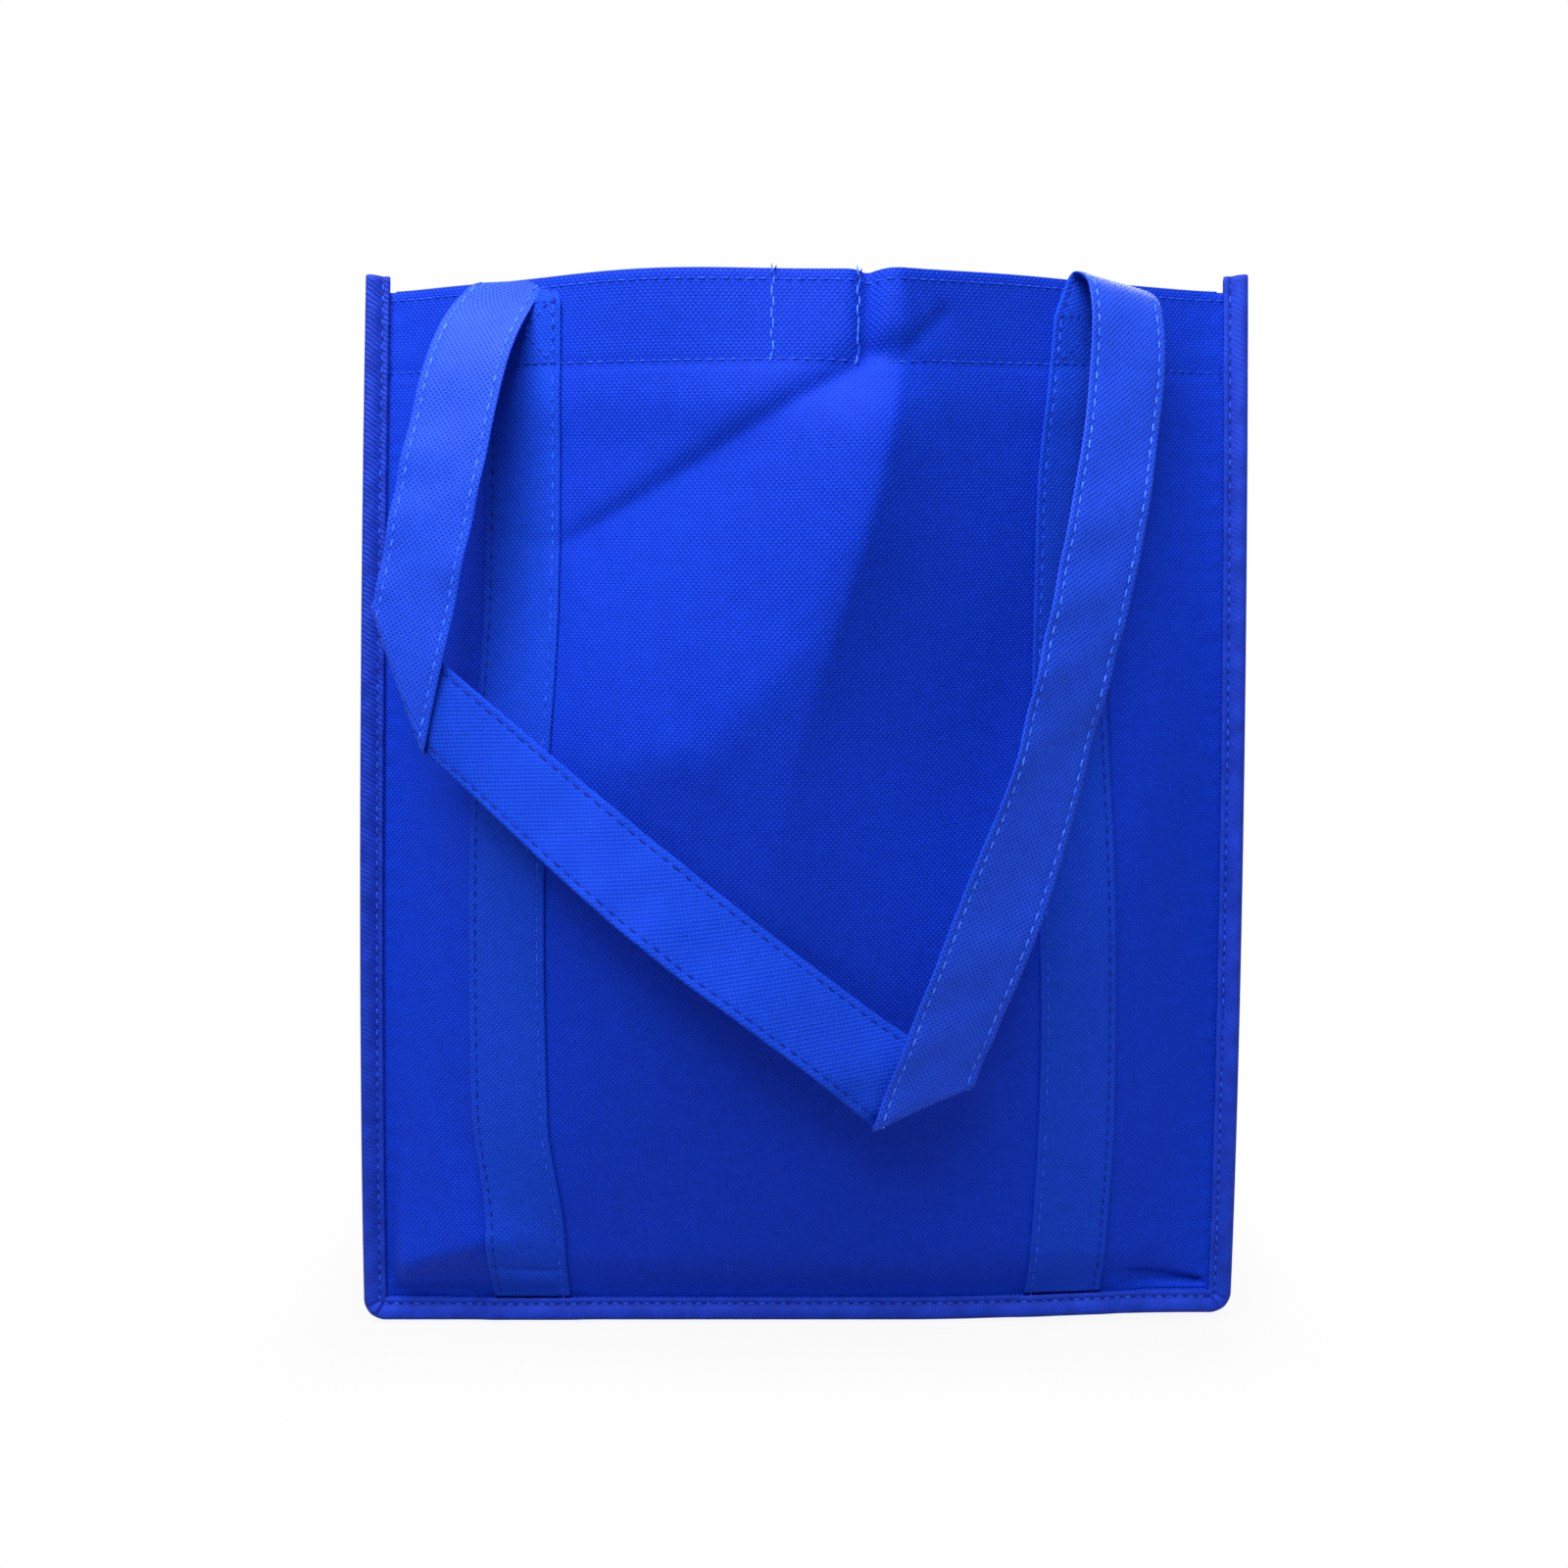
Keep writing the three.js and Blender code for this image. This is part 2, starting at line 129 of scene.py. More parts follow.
def crease(x, z, line, depth, above, below, round_off=0.0012, at_start=1.0, fade=0.22):
    """Outward move of a fold along a line. Its two flanks reach different distances. It can start
    at a share of its full size, and it fades out over the last share of its length."""
    nearest = np.full(np.shape(x), np.inf)
    side = np.zeros(np.shape(x))
    travel = np.zeros(np.shape(x))
    lengths = [math.dist(a, b) for a, b in zip(line, line[1:])]
    gone = 0
    for (x0, z0), (x1, z1), length in zip(line, line[1:], lengths):
        run, rise = x1 - x0, z1 - z0
        along = np.clip(((x - x0) * run + (z - z0) * rise) / length ** 2, 0, 1)
        away = np.hypot(x - x0 - along * run, z - z0 - along * rise)
        closer = away < nearest
        nearest = np.where(closer, away, nearest)
        side = np.where(closer, run * (z - z0) - rise * (x - x0), side)
        travel = np.where(closer, (gone + along * length) / sum(lengths), travel)
        gone += length
    size = at_start + (1 - at_start) * travel
    reach = np.where(side > 0, above * size, below)
    fall = np.exp((round_off - np.hypot(nearest, round_off)) / reach)
    return -depth * size * fall * smooth(travel / 0.15) * smooth((1 - travel) / fade)


STORAGE_CREASE = [
    (-0.088, 0.2855), (-0.078, 0.291), (-0.036, 0.312), (-0.005, 0.329), (0.026, 0.345), (0.036, 0.352),
]
HEM_CREASE = [(0.025, 0.339), (0.033, 0.3465), (0.049, 0.3635)]
FACET_EDGE = [(0.024, 0.345), (0.019, 0.295), (0.002, 0.255), (-0.030, 0.222), (-0.082, 0.214)]
HEM_DENT = [(0.0205, 0.340), (0.0200, 0.353), (0.0210, 0.386)]
HEM_RIDGE = [(0.0285, 0.335), (0.0270, 0.353), (0.0265, 0.386)]
RIGHT_CORNER_CREASE = [(0.124, 0.0185), (0.139, 0.0160), (0.152, 0.0125), (0.165, 0.0085)]
RIGHT_CORNER_FOLD = [(0.130, 0.0140), (0.146, 0.0122), (0.165, 0.0100)]
LEFT_CORNER_CREASE = [(-0.178, 0.013), (-0.146, 0.028), (-0.106, 0.043)]

# Each fold: its line, its depth, the reach of its upper and lower flanks, how round its edge is, the
# share of its size that it starts at, and the share of its length that it fades over.
PANEL_FOLDS = [
    (STORAGE_CREASE, 0.0046, 0.0048, 0.024, 0.0012, 0.35, 0.10),
    (HEM_CREASE, 0.0012, 0.0012, 0.0040),
    (FACET_EDGE, -0.0050, 0.024, 0.024, 0.006),
    (HEM_DENT, 0.0050, 0.0018, 0.0036),
    (HEM_RIDGE, -0.0010, 0.006, 0.0028),
    (LEFT_CORNER_CREASE, -0.0078, 0.030, 0.012, 0.003),
]
CORNER_FOLDS = [
    (RIGHT_CORNER_CREASE, 0.0034, 0.0014, 0.0045, 0.0006, 0.5),
    (RIGHT_CORNER_FOLD, 0.0014, 0.0014, 0.0024, 0.0006, 0.5),
]
FOLD_END = 0.010  # the folds end over this distance beside a seam
CORNER_FOLD_END = 0.003
BASE_ROLL = 0.0035  # the cloth rolls out above the base seam
SLACK_DEPTH = 0.0011
SLACK = [(23, 0.4, 41, 1.7), (-37, 2.1, 29, 0.3), (52, 3.9, -19, 2.6), (61, 1.2, 47, 5.1)]
HEM_GROOVE = 0.0004  # the lower row of stitches draws the cloth in
HEM_SWELL = 0.0010  # and the cloth swells below it
SEAM_PUCKER = 0.00022  # small waves beside the side seams


def free_across(share):
    """0 at the side seams, 1 where the cloth is free to move."""
    return smooth((1 - np.abs(share)) / 0.25)


def relief(x, z, height):
    """Creases, slack and the marks of the hem, measured outwards from the panel's form."""
    share = (x - lean(z)) / seam_half_width(z)
    from_seam = (1 - np.abs(share)) * SEAM_HALF
    from_base = z - SEAM_HEIGHT
    free = free_across(share) * smooth(from_base / 0.05)
    folds = sum(crease(x, z, *fold) for fold in PANEL_FOLDS)
    out = folds * smooth(from_seam / FOLD_END) * smooth(from_base / FOLD_END)
    corner = sum(crease(x, z, *fold) for fold in CORNER_FOLDS)
    out = out + corner * smooth(from_seam / CORNER_FOLD_END) * smooth(from_base / CORNER_FOLD_END)
    out = out + BASE_ROLL * smooth(from_base / 0.022) * free_across(share)
    for wave_x, phase_x, wave_z, phase_z in SLACK:
        swell = np.sin(wave_x * x + phase_x) * np.sin(wave_z * z + phase_z)
        out = out + SLACK_DEPTH * free * swell
    below_hem = HEM_FOOT - height
    out = out - HEM_GROOVE * hump(below_hem, 0.0014)
    out = out + HEM_SWELL * free * hump(below_hem - 0.012, 0.010)
    pucker = np.sin(height * 840 + 2 * np.sin(height * 130))
    return out + SEAM_PUCKER * pucker * np.exp(-from_seam / 0.006) * smooth(from_seam / 0.002)


def panel_form(across, height):
    """The smooth form of the front panel, without its creases, at places on the flat cloth."""
    share = across / SEAM_HALF
    dip = HEM_DIP * crown(share, HEIGHT) / (HEIGHT - SEAM_HEIGHT)
    z = SEAM_HEIGHT + (height - SEAM_HEIGHT) * (1 - dip)
    return np.stack([share * seam_half_width(z) + lean(z), -HALF_DEPTH - bulge(share, z), z], -1)


def unit(vectors):
    return vectors / np.linalg.norm(vectors, axis=-1, keepdims=True)


def panel_normal(across, height):
    """Which way the smooth form of the panel faces."""
    step = 0.0005
    here = panel_form(across, height)
    inward = np.where(across > 0, -step, step)
    beside = (panel_form(across + inward, height) - here) * np.sign(inward)[..., None]
    above = here - panel_form(across, height - step)
    return unit(np.cross(beside, above))


def panel_point(across, height, off=0.0):
    """A place on the front panel, given on the flat cloth, and a distance in front of it."""
    across, height = np.broadcast_arrays(np.asarray(across, float), np.asarray(height, float))
    x, y, z = np.moveaxis(panel_form(across, height), -1, 0)
    y = y - relief(x, z, height)
    z = z + CORNER_LIFT * smooth((x - 0.04) / 0.11) * smooth(1 - z / 0.12)
    return np.stack([x, y, z], -1) + panel_normal(across, height) * np.asarray(off)[..., None]


def turned(points):
    """Half a turn about the upright axis, which takes the front of the bag to its back."""
    return points * np.array([-1.0, -1.0, 1.0])


def spread(start, end, step=CLOTH_STEP):
    return np.linspace(start, end, 1 + math.ceil(abs(end - start) / step))


def panel_rows(top):
    fine = spread(SEAM_HEIGHT, SEAM_HEIGHT + FINE_REACH, CLOTH_STEP / 2)
    return np.concatenate([fine[:-1], spread(SEAM_HEIGHT + FINE_REACH, top)])


def panel_columns():
    fine = spread(SEAM_HALF - FINE_BESIDE, SEAM_HALF, CLOTH_STEP / 2)
    middle = spread(FINE_BESIDE - SEAM_HALF, SEAM_HALF - FINE_BESIDE)
    return np.concatenate([-fine[:0:-1], middle, fine[1:]])


def seam_path(top):
    """Flat places and outward angles along a panel's seam, down, along the base and up."""
    sides = panel_rows(top)[:0:-1]
    base = panel_columns()[1:-1]
    fan = np.linspace(0, 90, 19)
    parts = [
        (-SEAM_HALF, sides, 180), (-SEAM_HALF, SEAM_HEIGHT, 180 + fan), (base, SEAM_HEIGHT, 270),
        (SEAM_HALF, SEAM_HEIGHT, 270 + fan), (SEAM_HALF, sides[::-1], 360),
    ]
    path = np.concatenate([np.stack(np.broadcast_arrays(*part)) for part in parts], 1)
    return path[0], path[1], np.radians(path[2])


def seam_point(path, outwards, inwards):
    """A place in the seam allowance, which flares forward."""
    across, height, angle = path
    out = np.stack([np.cos(angle), np.zeros_like(angle), np.sin(angle)], -1)
    ahead = np.array([0.0, -1.0, 0.0])
    leaning = out * math.cos(SEAM_FLARE) + ahead * math.sin(SEAM_FLARE)
    facing = out * math.sin(SEAM_FLARE) - ahead * math.cos(SEAM_FLARE)
    start = panel_point(across, height)
    start[:, 1] = -HALF_DEPTH
    along_out = np.broadcast_to(outwards, angle.shape)[:, None] * leaning
    return start + along_out + np.broadcast_to(inwards, angle.shape)[:, None] * facing


def path_lengths(points):
    steps = np.linalg.norm(np.diff(points, axis=0), axis=1)
    return np.concatenate([[0.0], np.cumsum(steps)])


def flat_grid(across, along):
    """Places on the flat cloth, in rows along it."""
    return np.stack(np.meshgrid(across, along), -1)


def cloth_mesh(name, grids):
    """One mesh from grids of points, flat cloth places and a material, welded where they meet."""
    points, faces, flats, finishes = [], [], [], []
    for grid, flat, finish in grids:
        rows, columns = grid.shape[:2]
        ids = np.arange(rows * columns).reshape(rows, columns) + sum(map(len, points))
        quads = [ids[:-1, :-1], ids[:-1, 1:], ids[1:, 1:], ids[1:, :-1]]
        faces.append(np.stack(quads, -1).reshape(-1, 4))
        finishes.append(np.full(len(faces[-1]), finish))
        points.append(grid.reshape(-1, 3))
        flats.append(flat.reshape(-1, 2))
    mesh = bpy.data.meshes.new(name)
    faces = np.concatenate(faces)
    mesh.from_pydata(np.concatenate(points).tolist(), [], faces.tolist())
    flat_map = mesh.uv_layers.new(name="Flat")
    flat_map.uv.foreach_set("vector", np.concatenate(flats)[faces.ravel()].ravel())
    mesh.polygons.foreach_set("material_index", np.concatenate(finishes))
    sewn = bmesh.new()
    sewn.from_mesh(mesh)
    bmesh.ops.remove_doubles(sewn, verts=sewn.verts, dist=1e-6)
    sewn.to_mesh(mesh)
    sewn.free()
    mesh.shade_smooth()
    return mesh


def make_piece(name, mesh, materials, node=None):
    piece = bpy.data.objects.new(name, mesh)
    bpy.context.collection.objects.link(piece)
    for material in materials:
        mesh.materials.append(material)
    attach(piece, "root")
    if node:
        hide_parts(node)
    return piece


def thicken(piece, thickness=FABRIC):
    """Gives a sheet its thickness. The second material is the back of the cloth."""
    wall = piece.modifiers.new("Thickness", "SOLIDIFY")
    wall.thickness = thickness
    wall.offset = 0
    wall.material_offset = 1


class Value:
    """A shader socket. Arithmetic on it adds Math nodes, and node() adds any other node."""

    def __init__(self, tree, socket=None):
        self.tree = tree
        self.socket = socket

    def node(self, kind, settings=None, inputs=None, output=0):
        made = self.tree.nodes.new("ShaderNode" + kind)
        for name, setting in (settings or {}).items():
            setattr(made, name, setting)
        for key, value in (inputs or {}).items():
            if isinstance(value, Value):
                self.tree.links.new(value.socket, made.inputs[key])
            else:
                made.inputs[key].default_value = value
        return Value(self.tree, made.outputs[output])

    def math(self, operation, *terms):
        return self.node("Math", {"operation": operation}, dict(enumerate(terms)))

    def __add__(self, other):
        return self.math("ADD", self, other)

    def __radd__(self, other):
        return self.math("ADD", other, self)

    def __sub__(self, other):
        return self.math("SUBTRACT", self, other)

    def __rsub__(self, other):
        return self.math("SUBTRACT", other, self)

    def __mul__(self, other):
        return self.math("MULTIPLY", self, other)

    def __rmul__(self, other):
        return self.math("MULTIPLY", other, self)

    def __abs__(self):
        return self.math("ABSOLUTE", self)

    def cosine(self):
        return self.math("COSINE", self)

    def at_least(self, other):
        return self.math("MAXIMUM", self, other)

    def axis(self, name):
        return self.node("SeparateXYZ", None, {"Vector": self}, name)

    def noise(self, scale, detail):
        return self.node("TexNoise", None, {"Vector": self, "Scale": scale, "Detail": detail})

    def bump(self, distance, strength=1.0):
        return self.node("Bump", None, {"Strength": strength, "Distance": distance, "Height": self})

    def ramp(self, low, high):
        """0 below low and 1 above high, with soft ends."""
        settings = {"interpolation_type": "SMOOTHSTEP"}
        inputs = {"Value": self, "From Min": low, "From Max": high}
        return self.node("MapRange", settings, inputs)

    def mix(self, dark, light):
        """A colour from dark to light, by this value."""
        return self.node("Mix", {"data_type": "RGBA"}, {0: self, 6: (*dark, 1.0), 7: (*light, 1.0)}, 2)


def new_material(name):
    """An empty material, its shader and a value to start formulas from."""
    material = bpy.data.materials.new(name)
    material.use_nodes = True
    tree = material.node_tree
    shader = tree.nodes["Principled BSDF"]
    return material, shader, Value(tree)


def set_shader(shader, **sockets):
    """Sets or links sockets of a shader, named with _ for a space."""
    for name, value in sockets.items():
        socket = shader.inputs[name.replace("_", " ")]
        if isinstance(value, Value):
            value.tree.links.new(value.socket, socket)
        else:
            socket.default_value = value


DOT_PITCH = 0.00183  # between embossed dots in a row
ROW_PITCH = 0.00198  # between every second row of dots
CLOTH_DARK = (0.0018, 0.0250, 0.420)
CLOTH_LIGHT = (0.0062, 0.0515, 0.680)
CLOTH_SHEEN = {"Sheen_Weight": 0.02, "Sheen_Roughness": 0.4, "Sheen_Tint": (0.35, 0.55, 1.0, 1.0)}


def spunbond(name, dark, light, raised, dot_height=0.00024, gloss=0.060):
    """Spunbond cloth: bonded fibres pressed with staggered dots, domes on one face and pits behind."""
    material, shader, start = new_material(name)
    flat = start.node("UVMap", {"uv_map": "Flat"})
    across = flat.axis("X") + (flat.noise(260.0, 1.0) - 0.5) * 0.00014
    along = flat.axis("Y")
    lattice = (across * (math.tau / DOT_PITCH)).cosine() * (along * (math.tau / ROW_PITCH)).cosine()
    dots = lattice.ramp(0.0, 0.85) if raised else 1 - lattice.ramp(0.15, 0.7)
    fibres = flat.noise(2600.0, 2.0)
    clouds = flat.noise(160.0, 4.0)
    # The dots also set the colour: the domes are lighter as a painted highlight, and the pits darker as
    # painted shade.
    tone = clouds.ramp(0.25, 0.75) * 0.14 + dots * 0.62 + fibres.ramp(0.3, 0.7) * 0.24
    set_shader(
        shader, Base_Color=tone.mix(dark, light), Roughness=0.50 + 0.16 * fibres - 0.10 * dots,
        Normal=(dots + fibres * 0.35).bump(dot_height), Specular_IOR_Level=gloss, **CLOTH_SHEEN,
    )
    return material


cloth_face = spunbond("spunbond face", CLOTH_DARK, CLOTH_LIGHT, raised=True)
cloth_back = spunbond("spunbond back", CLOTH_DARK, CLOTH_LIGHT, raised=False)


def plain_thread(name, dark, light):
    """Spun polyester sewing thread, with a slow change of tone along the seam."""
    material, shader, start = new_material(name)
    place = start.node("TexCoord", None, None, "Object")
    shade = place.noise(420.0, 2.0)
    plies = place.node("TexWave", None, {"Vector": place, "Scale": 900.0, "Distortion": 2.0})
    set_shader(
        shader, Base_Color=shade.ramp(0.3, 0.7).mix(dark, light), Roughness=0.45 + shade * 0.2,
        Normal=plies.bump(0.00008, 0.6), Specular_IOR_Level=0.12,
    )
    return material


light_thread = plain_thread("light thread", (0.022, 0.110, 0.74), (0.085, 0.235, 0.95))
pale_thread = plain_thread("pale thread", (0.004, 0.045, 0.52), (0.028, 0.120, 0.84))
plain_blue_thread = plain_thread("plain blue thread", (0.0015, 0.022, 0.34), (0.008, 0.065, 0.72))
# The dark thread also stands as painted shade for the stitch grooves on the outer face of the handles.
dark_thread = plain_thread("dark thread", (0.0008, 0.010, 0.16), (0.0020, 0.024, 0.34))


def stitch_tree():
    """Geometry Nodes that lay one thread dash after another along lines on a surface."""
    tree = bpy.data.node_groups.new("Stitches", "GeometryNodeTree")
    face = tree.interface
    face.new_socket("Lines", in_out="INPUT", socket_type="NodeSocketGeometry")
    for name in ("Pitch", "Length", "Thread", "Wander"):
        face.new_socket(name, in_out="INPUT", socket_type="NodeSocketFloat")
    face.new_socket("Seed", in_out="INPUT", socket_type="NodeSocketInt")
    face.new_socket("Thread Material", in_out="INPUT", socket_type="NodeSocketMaterial")
    face.new_socket("Stitches", in_out="OUTPUT", socket_type="NodeSocketGeometry")

    def add(kind, settings=None, **links):
        made = tree.nodes.new(kind)
        for name, setting in (settings or {}).items():
            setattr(made, name, setting)
        for name, value in links.items():
            socket = made.inputs[name.replace("_", " ")]
            if isinstance(value, bpy.types.NodeSocket):
                tree.links.new(value, socket)
            else:
                socket.default_value = value
        return made.outputs

    def times(value, factor):
        product = tree.nodes.new("ShaderNodeMath")
        product.operation = "MULTIPLY"
        tree.links.new(value, product.inputs[0])
        product.inputs[1].default_value = factor
        return product.outputs[0]

    given = add("NodeGroupInput")
    curve = add("GeometryNodeMeshToCurve", Mesh=given["Lines"])
    spaced = add(
        "GeometryNodeResampleCurve", {"mode": "LENGTH"}, Curve=curve[0], Length=given["Pitch"],
    )
    tangent = add("GeometryNodeInputTangent")
    lay = add("GeometryNodeInputNamedAttribute", {"data_type": "FLOAT_VECTOR"}, Name="lay")
    aim = add(
        "FunctionNodeAxesToRotation", {"primary_axis": "Z", "secondary_axis": "X"},
        Primary_Axis=lay[0], Secondary_Axis=tangent[0],
    )
    wander = add(
        "FunctionNodeRandomValue", {"data_type": "FLOAT"}, Min=times(given["Wander"], -1.0),
        Max=given["Wander"], Seed=given["Seed"],
    )
    yaw = add("ShaderNodeCombineXYZ", Z=wander["Value"])
    skew = add(
        "FunctionNodeRotateRotation", {"rotation_space": "LOCAL"}, Rotation=aim[0], Rotate_By=yaw[0],
    )
    size = add(
        "ShaderNodeCombineXYZ", X=times(given["Length"], 0.5), Y=given["Thread"], Z=given["Thread"],
    )
    dash = add("GeometryNodeMeshUVSphere", Segments=6, Rings=4, Radius=1.0)
    placed = add(
        "GeometryNodeInstanceOnPoints", Points=spaced[0], Instance=dash[0], Rotation=skew[0],
        Scale=size[0],
    )
    real = add("GeometryNodeRealizeInstances", Geometry=placed[0])
    rounded = add("GeometryNodeSetShadeSmooth", Geometry=real[0])
    painted = add("GeometryNodeSetMaterial", Geometry=rounded[0], Material=given["Thread Material"])
    add("NodeGroupOutput", Stitches=painted[0])
    return tree


STITCHES = stitch_tree()


def sew(name, lines, material, pitch=0.0038, length=0.0030, thread=0.00028, wander=0.05, seed=1):
    """Sews along lines, each a pair of arrays: places on the surface and the way it faces there."""
    points = np.concatenate([line for line, _ in lines])
    facing = np.concatenate([np.broadcast_to(way, line.shape) for line, way in lines])
    starts = np.cumsum([0] + [len(line) for line, _ in lines])[:-1]
    pairs = [(s + k, s + k + 1) for s, (line, _) in zip(starts, lines) for k in range(len(line) - 1)]
    mesh = bpy.data.meshes.new(name + "_lines")
    mesh.from_pydata(points.tolist(), pairs, [])
    lay = mesh.attributes.new("lay", "FLOAT_VECTOR", "POINT")
    lay.data.foreach_set("vector", np.ascontiguousarray(facing, np.float32).ravel())
    holder = bpy.data.objects.new(name, mesh)
    bpy.context.collection.objects.link(holder)
    rows = holder.modifiers.new("Stitches", "NODES")
    rows.node_group = STITCHES
    values = {
        "Pitch": pitch, "Length": length, "Thread": thread, "Wander": wander, "Seed": seed,
        "Thread Material": material,
    }
    for item in STITCHES.interface.items_tree:
        if item.in_out == "INPUT" and item.name in values:
            rows[item.identifier] = values[item.name]
    ready = holder.evaluated_get(bpy.context.evaluated_depsgraph_get())
    stitched = bpy.data.meshes.new_from_object(ready)
    stitched.name = name
    bpy.data.objects.remove(holder)
    return make_piece(name, stitched, [])


HEM_FOLD = [  # steps of the fold at the mouth: how far inwards and how far up
    (LAYER / 2 * (1 - math.cos(turn)), LAYER / 2 * math.sin(turn))
    for turn in np.radians([0, 45, 90, 135, 180])
]
HEM_FOLD_STEP = 0.000045  # flat cloth from one step of the fold to the next


def build_panel(side, place):
    across = panel_columns()
    front_flat = flat_grid(across, panel_rows(HEIGHT))
    front = panel_point(front_flat[..., 0], front_flat[..., 1])
    path = seam_path(HEIGHT)
    outs = (ALLOWANCE, ALLOWANCE / 2, 0.0)
    allowance = np.stack([seam_point(path, out, 0.0) for out in outs])
    lengths = path_lengths(seam_point(path, ALLOWANCE / 2, 0.0))
    inner = across[2:-2]
    hem, hem_heights = [], []
    for step, (inwards, up) in enumerate(HEM_FOLD):
        hem.append(panel_point(inner, HEIGHT, -inwards) + [0, 0, up])
        hem_heights.append(HEIGHT + step * HEM_FOLD_STEP)
    for height in spread(HEIGHT, HEM_FOOT)[1:]:
        hem.append(panel_point(inner, height, -LAYER))
        hem_heights.append(2 * HEIGHT - height)
    grids = [
        (place(front), front_flat, 0),
        (place(allowance), flat_grid(lengths, outs), 0),
        (place(np.stack(hem)), flat_grid(inner, hem_heights), 0),
    ]
    mesh = cloth_mesh(side + "_panel_cloth", grids)
    panel = make_piece(side + "_panel_cloth", mesh, [cloth_face, cloth_back], side + "_panel")
    thicken(panel)
    return panel


def hem_rows(place):
    """The two rows of stitches that hold the hem, on both faces of the cloth."""
    lines = []
    run = spread(-SEAM_HALF + 0.001, SEAM_HALF - 0.001)
    for height in (HEIGHT - HEM_ROW_BELOW, HEM_FOOT + HEM_ROW_ABOVE):
        outside = panel_point(run, height, FABRIC / 2 + THREAD_STAND)
        inside = panel_point(run, height, -LAYER - FABRIC / 2 - THREAD_STAND)
        facing = panel_normal(run, np.full_like(run, height))
        lines += [(place(outside), place(facing)), (place(inside), place(-facing))]
    return lines


SIDES = {"front": lambda points: points, "back": turned}
for side, place in SIDES.items():
    panel = build_panel(side, place)
    hem = sew(side + "_hem_stitches", hem_rows(place), pale_thread, seed=3)


# Rack loops
# A short flat strap of the same cloth, sewn inside each hem by its two ends, so that the bag can
# hang on a packing rack. Two upright rows of stitches show it from outside.

RACK_LENGTH = 0.044
RACK_THICKNESS = 0.0008
RACK_SEAMS = (-0.0120, 0.0160)  # across the panel
RACK_BEHIND = LAYER + FABRIC / 2 + SEWN_GAP + RACK_THICKNESS / 2
RACK_BOW = 0.0035  # the loop stands away from the hem between its seams
RACK_BELOW = 0.003  # mouth to the loop, and the loop to the foot of the hem
RACK_STEP = 0.0011  # distance between the points of its mesh
RACK_STRAY = 0.0004  # the upright rows stray by this from straight
THREAD_END_BELOW = 0.0016  # the cut ends of the thread start here below the mouth
THREAD_END_ASIDE = 0.0009
THREAD_END_UP = 0.0020

rack_across = spread(-RACK_LENGTH / 2, RACK_LENGTH / 2, RACK_STEP)
rack_heights = spread(HEM_FOOT + RACK_BELOW, HEIGHT - RACK_BELOW, RACK_STEP)
rack_flat = flat_grid(rack_across, rack_heights)
rack_middle = sum(RACK_SEAMS) / 2
rack_reach = (RACK_SEAMS[1] - RACK_SEAMS[0]) / 2
rack_share = np.clip((rack_flat[..., 0] - rack_middle) / rack_reach, -1, 1)
rack_bow = RACK_BOW * np.cos(math.pi / 2 * rack_share) ** 2
rack_grid = panel_point(rack_flat[..., 0], rack_flat[..., 1], -RACK_BEHIND - rack_bow)


def rack_rows(place):
    """The upright rows of stitches, and the cut ends of their thread."""
    rows, ends = [], []
    for seam in RACK_SEAMS:
        run = spread(HEM_FOOT + 0.001, HEIGHT + 0.0002, 0.001)
        across = seam + RACK_STRAY * np.sin(run * 900)
        line = panel_point(across, run, FABRIC / 2 + 2 * THREAD_STAND)
        rows.append((place(line), place(panel_normal(across, run))))
        way = np.linspace(0, 1, 6)
        from_mouth = np.full_like(way, HEIGHT - THREAD_END_BELOW)
        end = panel_point(seam + THREAD_END_ASIDE * way, from_mouth, FABRIC / 2 + SEWN_GAP)
        end[:, 2] += THREAD_END_UP * way
        ends.append((place(end), place(np.array([0.0, -1.0, 0.0]))))
    return rows, ends


for side, place in SIDES.items():
    mesh = cloth_mesh(side + "_rack_strap", [(place(rack_grid), rack_flat, 0)])
    finishes = [cloth_back, cloth_face]
    rack = make_piece(side + "_rack_strap", mesh, finishes, side + "_rack_loop")
    thicken(rack, RACK_THICKNESS)
    rows, ends = rack_rows(place)
    rack_seams = sew(
        side + "_rack_stitches", rows, light_thread, 0.0031, 0.0038, 0.00031, seed=5,
    )
    thread_ends = sew(
        side + "_rack_thread_ends", ends, dark_thread, 0.0012, 0.0018, 0.00026, 0.3, seed=6,
    )


# Handles
# Each handle is one long strap of cloth with its edges folded in and stitched along both sides. It
# is sewn up the panel, boxed and crossed at the hem, left free as a loop, and sewn down again.

STRAP_WIDTH = 0.029
STRAP_THICKNESS = 0.0009
STRAP_CENTRE = 0.1015  # middle of the panel to the middle of a sewn strap
STRAP_OFFSET = FABRIC / 2 + SEWN_GAP + STRAP_THICKNESS / 2
STRAP_END = 0.0054  # the end reaches this far into the base seam
CRUMPLE = 0.0165  # the left strap is crumpled this far above the base seam
CRUMPLE_SLANT = -0.16  # and less far towards the middle of the bag
CRUMPLE_REACH = 0.024  # both straps have finer steps below this height
STRAP_STEP = 0.002
EDGE_SEAM = 0.0026  # edge of the strap to its stitches
STRAP_PITCH = 0.0047  # from one stitch along the edges to the next
SUNK_STAND = 0.00004  # the middle of a thread above the groove that it lies in
BOX_BELOW = 0.0065  # mouth to the top of the box of stitches
BOX_STAND = 0.00008
FOLD_RADIUS = 0.0014  # half the distance between the two layers at a fold
FOLD_REACH = 0.0006  # a pressed fold goes past its line by this
SEWN_TOP = {-1: HEIGHT - 0.0078, 1: HEIGHT - 0.012}  # the left and right strap leave the panel here
STRAP_DARK = (0.0044, 0.0375, 0.455)
STRAP_LIGHT = (0.0130, 0.0700, 0.690)
# The back of the strap takes this darker end in its pits, as painted shade.
PIT_DARK = (0.0011, 0.0205, 0.325)

